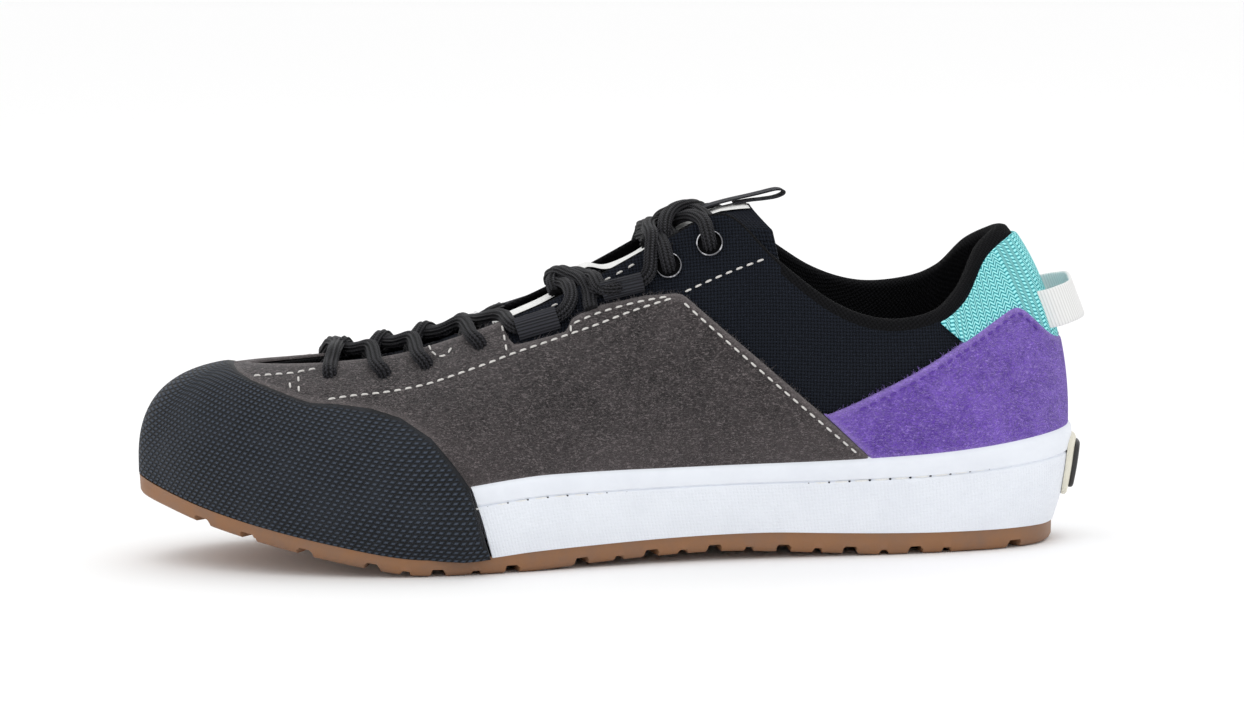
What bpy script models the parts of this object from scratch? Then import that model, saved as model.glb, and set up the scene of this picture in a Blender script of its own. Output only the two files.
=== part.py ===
# Approach shoe for the left foot, metres, +Z up, toe towards -X, outer side towards -Y.
# The origin is the middle of the heel tread, on the ground.
import math

import bmesh
import bpy
import numpy as np
from mathutils import Vector

for old in list(bpy.data.objects):
    bpy.data.objects.remove(old, do_unlink=True)

# Sizes of the shoe
SOLE_LENGTH = 0.298
BALL_WIDTH = 0.102
INSTEP_HEIGHT = 0.107
GAP = 0.0003
SKIN_GAP = 0.0004
PANEL_GAP = 0.0005
WALL = 0.0016
CUP_WALL = 0.0025
CUP_FLOOR = 0.004
OVERLAY = 0.0013
CAP_RUBBER = 0.0022
INSOLE = 0.004
TONGUE = 0.0026
RIBBON = 0.0007
EYELET_RADIUS = 0.0043
EYELET_HOLE = 0.0023
EYELET_THICK = 0.0014
LACE_RADIUS = 0.0023
WEB_LENGTH = 0.0145
WEB_WALL = 0.0011
LOOP_WIDTH = 0.0126
LOOP_THICK = 0.0013
TAB_WIDTH = 0.0095
TAB_THICK = 0.0008
BADGE_BASE = 0.0016
BADGE_PLATE = 0.002
NOTCH_DEPTH = 0.0024
NOTCH_WIDTH = 0.0042
NOTCH_REACH = 0.013

# The sections stand on a pattern 298 long, 102 wide at the ball and 107 high at the instep
MM = 0.001
LONG = MM * SOLE_LENGTH / 0.298
WIDE = MM * BALL_WIDTH / 0.102
HIGH = MM * INSTEP_HEIGHT / 0.107

# A row for each section, from the back of the heel to the tip of the toe.
# along, outer, inner: outline of the sole wall. top_*: edge of the opening.
# tuck: how far the foot of the wall stands in. lean, low: its rise out and up.
# high, drop: how far the wall runs out and down from the opening.
SECTION_COLUMNS = ("along", "outer", "inner", "top_along", "top_outer", "top_inner",
                   "up_outer", "up_inner", "tuck", "lean", "low", "high", "drop",
                   "ground", "tread", "rim", "pad")
SECTIONS = (
    (-37.3, 0.0, 0.0, -17.0, 0.0, 0.0, 99.5, 99.5, 4.9, 11.0, 28, 12, 26, 0.0, 7.4, 37.4, 6.0),
    (-34.8, 11.5, 11.5, -14.6, 7.5, 7.5, 99.2, 98.5, 4.4, 10.0, 28, 12, 26, 0.0, 7.4, 36.6, 6.0),
    (-26.8, 23.0, 23.0, -6.5, 15.5, 16.0, 93.5, 93.5, 3.6, 7.5, 27, 10, 26, 0.0, 7.5, 35.4, 6.0),
    (-11.0, 31.5, 31.5, 1.0, 24.5, 24.5, 81.5, 84.5, 3.0, 5.5, 26, 8, 24, 0.0, 7.7, 33.8, 5.5),
    (9.0, 35.0, 34.8, 11.0, 31.0, 29.5, 74.3, 80.0, 2.6, 5.0, 25, 5, 20, 0.0, 7.8, 32.4, 5.0),
    (27.0, 36.0, 35.0, 27.0, 34.0, 30.5, 72.6, 79.0, 2.4, 5.0, 25, 3, 20, 0.0, 7.9, 31.6, 5.0),
    (45.0, 36.0, 33.8, 43.0, 32.5, 29.0, 78.5, 84.5, 2.4, 5.0, 25, 5, 22, 1.0, 8.2, 31.0, 4.5),
    (62.0, 36.2, 32.3, 60.0, 27.5, 25.0, 92.3, 96.5, 2.4, 5.0, 25, 8, 25, 2.0, 8.5, 30.6, 3.5),
    (78.0, 36.8, 31.5, 75.0, 19.5, 19.5, 106.5, 106.8, 2.4, 5.0, 25, 12, 27, 2.7, 8.5, 30.3, 2.2),
    (96.0, 38.7, 31.4, 93.0, 18.5, 18.5, 99.5, 99.8, 2.4, 5.0, 24, 14, 24, 2.3, 8.1, 30.2, 1.6),
    (116.0, 42.3, 33.8, 113.0, 18.5, 18.5, 89.3, 89.5, 2.4, 5.0, 22, 16, 19, 1.3, 7.4, 30.2, 1.6),
    (137.0, 47.5, 38.8, 135.0, 18.5, 18.5, 78.8, 79.0, 2.4, 5.0, 20, 19, 14, 0.0, 6.6, 29.8, 1.6),
    (156.0, 51.0, 44.5, 158.0, 18.5, 18.5, 70.6, 70.8, 2.2, 5.0, 18, 21, 11, 0.0, 5.8, 27.5, 1.6),
    (177.0, 52.0, 48.7, 178.0, 17.5, 17.5, 65.0, 65.0, 2.0, 4.5, 16, 21, 9, 0.5, 8.4, 24.0, 1.6),
    (200.0, 47.3, 50.0, 197.0, 15.5, 16.0, 63.4, 63.4, 2.0, 4.0, 15, 20, 7, 5.4, 13.4, 22.0, 1.6),
    (222.0, 37.6, 46.6, 210.0, 11.5, 12.5, 62.8, 62.8, 1.8, 3.0, 15, 20, 4, 12.0, 19.2, 25.0, 1.6),
    (240.0, 24.5, 37.8, 218.0, 7.0, 8.0, 62.2, 62.2, 1.5, 1.5, 15, 21, 2, 16.6, 23.6, 28.0, 1.6),
    (253.0, 9.5, 24.0, 221.0, 3.0, 4.5, 61.7, 61.7, 1.3, 0.5, 15, 22, 1, 19.6, 27.2, 32.0, 1.6),
    (260.5, -5.0, 5.0, 222.0, -1.0, 1.0, 61.5, 61.5, 1.2, 0.0, 15, 22, 0.5, 21.3, 29.7, 34.0, 1.6),
)
TOE = len(SECTIONS) - 1
ROUND = 2 * TOE
# Where the sole wall stops at the toe rubber, in sections from the heel
WALL_END = 11.88
CAP_START = 12.0

# Edges of the overlays in the side view: distance along towards the toe, height
CAP_EDGE = ((150.0, -5.0), (152.0, 5.3), (158.0, 27.3), (162.0, 33.3), (169.0, 42.6), (178.0, 48.6),
            (187.0, 51.8), (198.0, 53.9), (208.0, 56.0), (217.0, 59.0), (223.0, 61.0), (226.0, 75.0))
PANEL_TOP = ((32.0, 31.0), (33.0, 32.5), (54.0, 52.3), (72.5, 69.2), (87.5, 83.0), (115.0, 77.6),
             (126.0, 72.6), (142.0, 68.0), (147.5, 68.6), (152.0, 90.0), (230.0, 90.0))
COUNTER_TOP = ((-40.0, 65.0), (-29.0, 66.2), (-17.4, 76.1), (-11.0, 74.3), (3.0, 66.7),
               (22.7, 58.5), (46.0, 45.8), (60.0, 38.0))
COUNTER_FRONT = ((-60.0, 0.0), (32.0, 0.0), (32.5, 34.0), (46.0, 47.0), (60.0, 61.0))
MESH_FRONT = ((-60.0, 0.0), (-3.0, 0.0), (4.5, 68.0), (7.5, 90.0), (20.0, 90.0))

# Lace rows on each side: distance along, setback from the edge of the throat
LACE_ROWS = ((199.0, 5.0), (182.0, 5.0), (168.0, 5.0), (152.0, 5.0), (143.6, 4.5),
             (115.6, 4.5), (93.0, 7.2), (80.0, 7.2))
LACE_SHIFT = 5.8
WEB_STARTS = (142.6, 114.6)
WEB_SETBACK = 4.5

# Side notches of the tread, distance along: deep ones and half ones
NOTCHES = (-15.0, 17.6, 38.3, 59.2, 81.0, 100.9, 122.9, 144.8, 167.9, 188.2, 208.7, 226.0)
HALF_NOTCHES = (7.6, 27.6, 48.6, 70.1, 90.9, 111.1, 156.0, 178.0)


def material(name, color, roughness, metallic=0.0):
    made = bpy.data.materials.new(name)
    made.use_nodes = True
    shader = made.node_tree.nodes["Principled BSDF"]
    shader.inputs["Base Color"].default_value = (*color, 1.0)
    shader.inputs["Roughness"].default_value = roughness
    shader.inputs["Metallic"].default_value = metallic
    return made


GUM = material("gum_rubber", (0.30, 0.17, 0.09), 0.6)
WHITE_RUBBER = material("white_rubber", (0.80, 0.82, 0.86), 0.55)
TOE_RUBBER = material("toe_rubber", (0.022, 0.026, 0.034), 0.6)
CANVAS = material("black_canvas", (0.012, 0.013, 0.017), 0.9)
SUEDE = material("grey_suede", (0.075, 0.062, 0.058), 0.95)
PURPLE = material("purple_suede", (0.13, 0.055, 0.42), 0.9)
TEAL = material("teal_mesh", (0.05, 0.62, 0.62), 0.8)
LACE = material("black_lace", (0.010, 0.010, 0.011), 0.75)
WHITE_WEB = material("white_webbing", (0.78, 0.78, 0.77), 0.85)
BLACK_WEB = material("black_webbing", (0.011, 0.011, 0.013), 0.85)
FOAM = material("dark_insole", (0.03, 0.03, 0.035), 0.9)
EYELET = material("black_eyelet", (0.02, 0.02, 0.022), 0.3, 0.9)
CREAM = material("cream_badge", (0.72, 0.68, 0.55), 0.6)
DARK_PLATE = material("dark_plate", (0.03, 0.03, 0.03), 0.5)


# The rows of both sides make one closed round: heel, outer side, toe, inner side
def side_row(row, inner):
    v = dict(zip(SECTION_COLUMNS, row))
    side, up = ("inner", "up_inner") if inner else ("outer", "up_outer")
    sign = 1.0 if inner else -1.0
    return (-v["along"] * LONG, sign * v[side] * WIDE,
            -v["top_along"] * LONG, sign * v["top_" + side] * WIDE, v[up] * HIGH,
            v["tuck"] * WIDE, v["lean"] * WIDE, v["low"] * HIGH, v["high"] * WIDE,
            v["drop"] * HIGH, v["ground"] * HIGH, v["tread"] * HIGH, v["rim"] * HIGH,
            v["pad"] * WIDE)


ROWS = np.array([side_row(r, False) for r in SECTIONS]
                + [side_row(SECTIONS[i], True) for i in range(TOE - 1, 0, -1)])


def place(u):
    i = int(math.floor(u))
    f = u - i
    p0, p1, p2, p3 = (ROWS[(i + k) % ROUND] for k in (-1, 0, 1, 2))
    return 0.5 * (2 * p1 + (p2 - p0) * f + (2 * p0 - 5 * p1 + 4 * p2 - p3) * f * f
                  + (3 * p1 - p0 - 3 * p2 + p3) * f ** 3)


def outward(u):
    a, b = place(u - 0.02), place(u + 0.02)
    n = np.array((b[1] - a[1], a[0] - b[0], 0.0))
    return -n / np.linalg.norm(n)


def tread_height(u):
    return place(u)[11]


def ground_height(u):
    return max(0.0, place(u)[10])


def floor_height(u):
    return tread_height(u) + GAP + CUP_FLOOR


# The outer skin of the upper: q runs from the floor (0) to the opening (1),
# and below 0 the same skin is carried down to the tread (-1)
def bare(u, q):
    row = place(u)
    n = outward(u)
    foot = np.array((row[0], row[1], 0.0)) - n * (CUP_WALL + GAP + row[5])
    foot[2] = floor_height(u) + GAP
    if q < 0.0:
        fall = -q * (foot[2] - tread_height(u) - GAP)
        return foot - n * fall * row[6] / row[7] - np.array((0.0, 0.0, fall))
    top = np.array((row[2], row[3], row[4]))
    first = foot + n * row[6] + np.array((0.0, 0.0, row[7]))
    last = top + n * row[8] - np.array((0.0, 0.0, row[9]))
    r = 1.0 - q
    return foot * r ** 3 + first * 3 * r * r * q + last * 3 * r * q * q + top * q ** 3


def lift_direction(u, q):
    q = min(max(q, 0.002), 0.998)
    du = bare(u + 0.01, q) - bare(u - 0.01, q)
    dq = bare(u, q + 0.002) - bare(u, q - 0.002)
    n = np.cross(dq, du)
    return n / np.linalg.norm(n)


def skin(u, q, lift=0.0):
    p = bare(u, q)
    return p + lift_direction(u, q) * lift if lift else p


def crossing(u, edge, start=0.0, end=1.0):
    # the first q at which the section meets an edge given in the side view
    xs, zs = zip(*edge)
    last = None
    for q in np.linspace(start, end, 81):
        p = bare(u, q)
        over = p[2] - np.interp(-p[0] / LONG, xs, zs) * HIGH
        if last is not None and (over > 0) != (last > 0):
            return float(q) - (end - start) / 80 * abs(over) / (abs(over) + abs(last))
        last = over
    return end if last < 0 else start


def rim_q(u, extra=0.0):
    height = place(u)[12] + extra
    low, high = 0.0, 0.8
    for _ in range(30):
        mid = (low + high) / 2
        if bare(u, mid)[2] < height:
            low = mid
        else:
            high = mid
    return low


HALF = [0.5 * k for k in range(2 * TOE + 1)]
CUP_HALF = sorted(HALF + [WALL_END, WALL_END + 0.05, WALL_END + 0.1])


def whole(half):
    return half + [ROUND - u for u in reversed(half[1:-1])]


def new_object(name, mesh, mat, smooth=35.0):
    mesh.materials.append(mat)
    made = bpy.data.objects.new(name, mesh)
    bpy.context.scene.collection.objects.link(made)
    if smooth:
        mesh.shade_smooth()
        mesh.set_sharp_from_angle(angle=math.radians(smooth))
    return made


def finish_mesh(name, verts, faces, mat, smooth=35.0, drawn_in=False):
    mesh = bpy.data.meshes.new(name)
    bm = bmesh.new()
    made = [bm.verts.new(v) for v in verts]
    for face in faces:
        bm.faces.new([made[i] for i in face])
    if drawn_in:
        bmesh.ops.remove_doubles(bm, verts=bm.verts, dist=0.000002)
    bmesh.ops.recalc_face_normals(bm, faces=bm.faces)
    if bm.calc_volume(signed=True) < 0:
        bmesh.ops.reverse_faces(bm, faces=bm.faces)
    bm.to_mesh(mesh)
    bm.free()
    return new_object(name, mesh, mat, smooth)


# Rings of equal length joined one to the next; closed ones also join last to first
def rings_to_faces(count, rings, closed=False):
    faces = []
    for r in range(rings if closed else rings - 1):
        a, b = r * count, (r + 1) % rings * count
        for i in range(count):
            j = (i + 1) % count
            faces.append((a + i, a + j, b + j, b + i))
    return faces


# A lid across a ring that has a heel point, mirrored places and a toe point
def lid(verts, ring, half_count, across, height=None):
    count = 2 * half_count - 2
    faces = []
    last = [ring[0]]
    for k in range(1, half_count):
        if k == half_count - 1:
            row = [ring[k]]
        else:
            a, b = np.array(verts[ring[k]]), np.array(verts[ring[count - k]])
            row = [ring[k]]
            for s in range(1, across):
                p = a + (b - a) * s / across
                if height:
                    p[2] += height(k, s / across)
                verts.append(tuple(p))
                row.append(len(verts) - 1)
            row.append(ring[count - k])
        if len(last) == 1:
            faces += [(last[0], row[s], row[s + 1]) for s in range(len(row) - 1)]
        elif len(row) == 1:
            faces += [(row[0], last[s + 1], last[s]) for s in range(len(last) - 1)]
        else:
            faces += [(last[s], row[s], row[s + 1], last[s + 1]) for s in range(across)]
        last = row
    return faces


def level(p, z):
    return (p[0], p[1], z)


# Outsole with its notched edge
def make_outsole():
    ring_u = whole(HALF)
    n = len(ring_u)
    top, mid, low = [], [], []
    for u in ring_u:
        edge = skin(u, -1.0, CUP_WALL)
        out = outward(u)
        tread, ground = tread_height(u), ground_height(u)
        top.append(level(edge, tread))
        mid.append(level(edge - out * 0.0002, ground + 0.35 * (tread - ground)))
        low.append(level(edge - out * 0.0018, ground))
    verts = low + mid + top
    faces = rings_to_faces(n, 3)
    faces += lid(verts, list(range(n)), len(HALF), 2)
    faces += lid(verts, list(range(2 * n, 3 * n)), len(HALF), 2)
    sole = finish_mesh("outsole", verts, faces, GUM)

    cuts = bmesh.new()
    for depth, width, reach, places in ((NOTCH_DEPTH, NOTCH_WIDTH, NOTCH_REACH, NOTCHES),
                                        (NOTCH_DEPTH * 0.6, NOTCH_WIDTH * 0.6,
                                         NOTCH_REACH * 0.6, HALF_NOTCHES)):
        for along in places:
            for inner in (False, True):
                u = find_along(along, inner)
                at = skin(u, -1.0, CUP_WALL)
                out = outward(u)
                slope = (ground_height(u + 0.3) - ground_height(u - 0.3)) / np.linalg.norm(
                    bare(u + 0.3, -1.0)[:2] - bare(u - 0.3, -1.0)[:2])
                tilt = math.atan(slope) * (1 if not inner else -1)
                box = bmesh.ops.create_cube(cuts, size=1.0)["verts"]
                turn = math.atan2(out[1], out[0])
                for v in box:
                    x = v.co.x * (reach + 0.004)
                    y = v.co.y * width
                    z = v.co.z * 0.008
                    z2 = z * math.cos(tilt)
                    y2 = y - z * math.sin(tilt) * (-1)
                    v.co = Vector((at[0] + out[0] * (0.004 - reach) / 2 + math.cos(turn) * x
                                   - math.sin(turn) * y2 * 1.0,
                                   at[1] + out[1] * (0.004 - reach) / 2 + math.sin(turn) * x
                                   + math.cos(turn) * y2,
                                   ground_height(u) + depth - 0.004 + z2))
    mesh = bpy.data.meshes.new("notch_cuts")
    cuts.to_mesh(mesh)
    cuts.free()
    cutter = bpy.data.objects.new("notch_cuts", mesh)
    bpy.context.scene.collection.objects.link(cutter)
    cutter.hide_render = True
    cutter.display_type = "WIRE"
    cut = sole.modifiers.new("notches", "BOOLEAN")
    cut.operation = "DIFFERENCE"
    cut.solver = "EXACT"
    cut.object = cutter


def find_along(along, inner, q=-1.0):
    low, high = 0.0, float(TOE)
    for _ in range(40):
        mid = (low + high) / 2
        if -bare(mid if not inner else ROUND - mid, q)[0] < along * LONG:
            low = mid
        else:
            high = mid
    return low if not inner else ROUND - low


# White sole wall and the floor that it carries, lower than the foot at the toe rubber
def make_cup():
    ring_u = whole(CUP_HALF)
    n = len(ring_u)
    outer = GAP + CUP_WALL
    steps = (outer, outer, outer - 0.0004, 0.0019, 0.0014, 0.0009, GAP)
    flat = (-0.0004, -0.0004, -0.0008, -0.0013, -0.0018, -0.0023, -0.0028)
    rings = [[] for _ in range(8)]
    for u in ring_u:
        half = min(u, ROUND - u)
        tread = tread_height(u) + GAP
        floor = floor_height(u)
        out = outward(u)
        foot = bare(u, 0.0)
        at_wall = half <= WALL_END + 0.001
        at_step = not at_wall and half <= WALL_END + 0.06
        reach = outer if at_wall or at_step else flat[0]
        rings[0].append(level(bare(u, -1.0) + out * reach, tread))
        if at_wall:
            q = rim_q(u)
            top = skin(u, q, 0.0015)
            rings[1].append(level(foot + out * outer, floor))
            rings[2].append(tuple(skin(u, q * 0.55, outer)))
            rings[3].append(tuple(skin(u, q * 0.98, outer)))
            rings[4].append(tuple(top + np.array((0.0, 0.0, 0.0005))))
            rings[5].append(tuple(skin(u, q * 0.98, GAP)))
            rings[6].append(tuple(skin(u, q * 0.5, GAP)))
            rings[7].append(level(foot + out * GAP, floor))
        else:
            offsets = steps if at_step else flat
            for k, offset in enumerate(offsets):
                fall = (0.0012, 0.0003, 0, 0, 0, 0, 0)[k]
                rings[k + 1].append(level(foot + out * offset, floor - fall))
    verts = [p for ring in rings for p in ring]
    faces = rings_to_faces(n, 8)
    faces += lid(verts, list(range(n)), len(CUP_HALF), 2)
    faces += lid(verts, list(range(7 * n, 8 * n)), len(CUP_HALF), 2)
    finish_mesh("midsole_cup", verts, faces, WHITE_RUBBER)


# The upper: one hollow wall, thicker round the collar
SKIN_Q = (0.0, 0.12, 0.26, 0.4, 0.54, 0.68, 0.8, 0.9, 1.0)
LINING_Q = (0.0, 0.26, 0.54, 0.68, 0.8, 0.9, 1.0)


def wall_thickness(u, q):
    pad = place(u)[13]
    rise = min(max((q - 0.45) / 0.35, 0.0), 1.0)
    full = rise * rise * (3 - 2 * rise)
    return WALL + max(pad - WALL, 0.0) * full


def make_upper():
    ring_u = whole(HALF)
    n = len(ring_u)
    rings = [[tuple(skin(u, q)) for u in ring_u] for q in SKIN_Q]
    crown, inside = [], []
    for u in ring_u:
        t = wall_thickness(u, 1.0)
        top = skin(u, 1.0)
        d = lift_direction(u, 0.97)
        along = bare(u, 1.0) - bare(u, 0.97)
        along = along / np.linalg.norm(along)
        crown.append(tuple(top - d * t * 0.5 + along * min(t * 0.35, 0.0016)))
    rings.append(crown)
    for q in reversed(LINING_Q):
        ring = []
        for u in ring_u:
            t = wall_thickness(u, q)
            ring.append(tuple(skin(u, q, -t)))
        rings.append(ring)
    verts = [p for ring in rings for p in ring]
    finish_mesh("upper", verts, rings_to_faces(n, len(rings), True), CANVAS)


# A patch that lies on the skin between two edges, over a run of places
# It keeps the skin's own rows, drawn in to its edges
def held_rows(low, high):
    held = []
    for q in SKIN_Q:
        if q < low + 0.015:
            q = low
        if q > high - 0.015:
            q = high
        held.append(q)
    return held


def make_patch(name, places, low_q, high_q, lift, thick, mat):
    cols = len(places)
    rows = len(SKIN_Q) - 1
    grid = []
    for layer in (lift, lift + thick):
        for u in places:
            for q in held_rows(low_q(u), high_q(u)):
                grid.append(tuple(skin(u, q, layer)))
    size = cols * (rows + 1)

    def at(layer, c, r):
        return layer * size + c * (rows + 1) + r

    faces = []
    for c in range(cols - 1):
        for r in range(rows):
            faces.append((at(0, c, r), at(0, c, r + 1), at(0, c + 1, r + 1), at(0, c + 1, r)))
            faces.append((at(1, c, r), at(1, c + 1, r), at(1, c + 1, r + 1), at(1, c, r + 1)))
        for r in (0, rows):
            faces.append((at(0, c, r), at(0, c + 1, r), at(1, c + 1, r), at(1, c, r)))
    for c in (0, cols - 1):
        for r in range(rows):
            faces.append((at(0, c, r), at(0, c, r + 1), at(1, c, r + 1), at(1, c, r)))
    return finish_mesh(name, grid, faces, mat, 35.0, True)


def run(start, end, step=0.5):
    count = int(round((end - start) / step))
    return [start + step * k for k in range(count + 1)]


def cap_top(u):
    return min(crossing(u, CAP_EDGE), 0.965)


# The edge of the toe rubber climbs fast beside the sole wall, and stands off more there
def cap_lift(u):
    near = min(u, ROUND - u) < CAP_START + 1.8
    return 0.0008 if near else SKIN_GAP


def with_quarters(places):
    extra = []
    for a, b in zip(places, places[1:]):
        half = min((a + b) / 2, ROUND - (a + b) / 2)
        if CAP_START < half < CAP_START + 1.0:
            extra.append((a + b) / 2)
    return sorted(places + extra, reverse=places[0] > places[-1])


def make_toe_cap():
    places = with_quarters(run(CAP_START, ROUND - CAP_START))
    cols = len(places)
    verts = []
    for thick in (0.0, CAP_RUBBER):
        for u in places:
            lift = thick + cap_lift(u)
            verts.append(tuple(skin(u, -1.0, thick + SKIN_GAP)))
            top = cap_top(u)
            for q in held_rows(0.0, top):
                thin = 0.0008 if q == top and thick else 0.0
                verts.append(tuple(skin(u, q, (lift if q > 0 else thick + SKIN_GAP) - thin)))
    high = len(SKIN_Q) + 1
    size = cols * high
    faces = []
    for c in range(cols - 1):
        a, b = c * high, (c + 1) * high
        for r in range(high - 1):
            faces.append((a + r, a + r + 1, b + r + 1, b + r))
            faces.append((size + a + r, size + b + r, size + b + r + 1, size + a + r + 1))
        for r in (0, high - 1):
            faces.append((a + r, b + r, size + b + r, size + a + r))
    for c in (0, cols - 1):
        a = c * high
        for r in range(high - 1):
            faces.append((a + r, a + r + 1, size + a + r + 1, size + a + r))
    for i, v in enumerate(verts):
        if i % high == 0:
            u = places[i // high % cols]
            verts[i] = (v[0], v[1], tread_height(u) + GAP)
    finish_mesh("toe_cap", verts, faces, TOE_RUBBER, 35.0, True)


def edge_q(amount):
    return lambda u: amount


def panel_low(u):
    half = min(u, ROUND - u)
    if half < CAP_START:
        return rim_q(u) + 0.035
    low = rim_q(WALL_END) + 0.035 if half < CAP_START + 0.1 else 0.0
    return min(max(cap_top(u) + 0.02, low), 0.9)


def panel_high(u):
    return max(min(crossing(u, PANEL_TOP, 0.05), 0.955), panel_low(u) + 0.012)


def counter_low(u):
    return max(rim_q(u) + 0.03, crossing(u, COUNTER_FRONT, 0.02))


def counter_high(u):
    return max(min(crossing(u, COUNTER_TOP, 0.1), 0.9), counter_low(u) + 0.03)


def mesh_low(u):
    return max(counter_high(u) + 0.012, crossing(u, MESH_FRONT, 0.1))


def make_overlays():
    side = with_quarters(run(5.5, 15.5))
    make_patch("side_panel_outer", side, panel_low, panel_high, PANEL_GAP, OVERLAY, SUEDE)
    make_patch("side_panel_inner", [ROUND - u for u in side], panel_low, panel_high,
               PANEL_GAP, OVERLAY, SUEDE)
    heel = [u % ROUND for u in run(ROUND - 6.0, ROUND + 6.0)]
    make_patch("heel_counter", heel, counter_low, counter_high, SKIN_GAP, OVERLAY, PURPLE)
    back = [u % ROUND for u in run(ROUND - 3.5, ROUND + 3.5)]
    make_patch("heel_mesh_panel", back, mesh_low, edge_q(0.95), SKIN_GAP, OVERLAY * 0.7, TEAL)


def make_badge():
    places = [u % ROUND for u in run(ROUND - 1.0, ROUND + 1.0)]
    outer = GAP + CUP_WALL + SKIN_GAP
    make_patch("heel_badge", places, lambda u: q_at(u, 15.5), lambda u: q_at(u, 33.0),
               outer, BADGE_BASE, CREAM)
    small = [u % ROUND for u in run(ROUND - 0.75, ROUND + 0.75, 0.25)]
    make_patch("heel_badge_plate", small, lambda u: q_at(u, 18.0), lambda u: q_at(u, 31.0),
               outer + BADGE_BASE + GAP, BADGE_PLATE * 0.6, DARK_PLATE)


def q_at(u, height):
    low, high = 0.0, 1.0
    for _ in range(30):
        mid = (low + high) / 2
        if bare(u, mid)[2] < height * HIGH:
            low = mid
        else:
            high = mid
    return low


# Insole on the floor, inside the wall
def make_insole():
    half = [0.0] + [float(k) for k in range(1, TOE)] + [float(TOE)]
    half = sorted(set(half + [0.5, TOE - 0.5]))
    ring_u = whole(half)
    n = len(ring_u)
    inset = WALL + 0.0016
    rings = [[], []]
    for u in ring_u:
        floor = floor_height(u)
        foot = bare(u, 0.0) - outward(u) * inset
        rings[0].append(level(foot, floor + GAP))
        rings[1].append(level(foot, floor + GAP + INSOLE))
    verts = rings[0] + rings[1]
    faces = rings_to_faces(n, 2)
    faces += lid(verts, list(range(n)), len(half), 2)
    faces += lid(verts, list(range(n, 2 * n)), len(half), 2)
    finish_mesh("insole", verts, faces, FOAM)


# Tongue: under the edges of the throat, its crown a little above them
CROWN_COLUMNS = ("along", "height")
CROWN = ((222.0, 57.0), (214.0, 61.0), (205.0, 63.6), (190.0, 65.0), (170.0, 66.8), (150.0, 72.2),
         (132.0, 79.3), (120.0, 85.6), (109.0, 91.0), (100.0, 95.4), (90.0, 100.6), (81.0, 105.0),
         (72.0, 107.6), (64.0, 108.6))
TONGUE_TOP = 64.0
TONGUE_Q = (0.80, 0.88, 0.96)


def crown_height(along):
    xs, zs = zip(*reversed(CROWN))
    return float(np.interp(along, xs, zs)) * HIGH


def tongue_section(u):
    # points across, from the outer side to the inner side
    left = [skin(u, q, -(wall_thickness(u, q) + 0.0008)) for q in TONGUE_Q]
    right = [skin(ROUND - u, q, -(wall_thickness(ROUND - u, q) + 0.0008)) for q in TONGUE_Q]
    a, b = left[-1], right[-1]
    x = (a[0] + b[0]) / 2
    peak = crown_height(-x / LONG)
    mids = []
    for s in (0.25, 0.5, 0.75):
        p = a + (b - a) * s
        arch = 1 - (2 * s - 1) ** 2
        base = a[2] + (b[2] - a[2]) * s
        mids.append(np.array((p[0], p[1], base + (peak - base) * arch)))
    return left + mids + list(reversed(right))


def tongue_sections():
    sections = [tongue_section(u) for u in run(8.0, 15.5)]
    first = sections[0]
    extra = []
    for step in (2, 1):
        along = 75.0 - (75.0 - TONGUE_TOP) * step / 2
        moved = []
        peak_rise = crown_height(along) - first[len(first) // 2][2]
        for k, p in enumerate(first):
            side = abs(k - len(first) // 2) / (len(first) // 2)
            shift = p + np.array(((75.0 - along) * LONG, 0.0, 0.0))
            shift[2] = p[2] + peak_rise * (1 - side) - side * 0.0008 * step
            shift[1] = p[1] * (1 - 0.05 * step)
            moved.append(shift)
        extra.append(moved)
    return extra + sections


def strip_normals(grid):
    rows, cols = len(grid), len(grid[0])
    normals = [[None] * cols for _ in range(rows)]
    for r in range(rows):
        for c in range(cols):
            a = grid[min(r + 1, rows - 1)][c] - grid[max(r - 1, 0)][c]
            b = grid[r][min(c + 1, cols - 1)] - grid[r][max(c - 1, 0)]
            n = np.cross(a, b)
            n = n / np.linalg.norm(n)
            normals[r][c] = n if n[2] > 0 else -n
    return normals


def slab(name, grid, lift, thick, mat, smooth=35.0):
    normals = strip_normals(grid)
    rows, cols = len(grid), len(grid[0])
    verts = []
    for offset in (lift, lift + thick):
        for r in range(rows):
            for c in range(cols):
                verts.append(tuple(grid[r][c] + normals[r][c] * offset))
    size = rows * cols
    faces = []
    for r in range(rows - 1):
        for c in range(cols - 1):
            a, b = r * cols + c, (r + 1) * cols + c
            faces.append((a, a + 1, b + 1, b))
            faces.append((size + a, size + b, size + b + 1, size + a + 1))
        for c in (0, cols - 1):
            a, b = r * cols + c, (r + 1) * cols + c
            faces.append((a, b, size + b, size + a))
    for c in range(cols - 1):
        for r in (0, rows - 1):
            a = r * cols + c
            faces.append((a, a + 1, size + a + 1, size + a))
    return finish_mesh(name, verts, faces, mat, smooth)


def make_tongue():
    grid = tongue_sections()
    slab("tongue", grid, -TONGUE, TONGUE, CANVAS)
    mid = len(grid[0]) // 2
    band = []
    for row in grid[:-2]:
        a, m, b = row[mid - 1], row[mid], row[mid + 1]
        band.append([m + (a - m) * 0.8, m, m + (b - m) * 0.8])
    slab("tongue_ribbon", band, GAP, RIBBON, WHITE_WEB)


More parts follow.
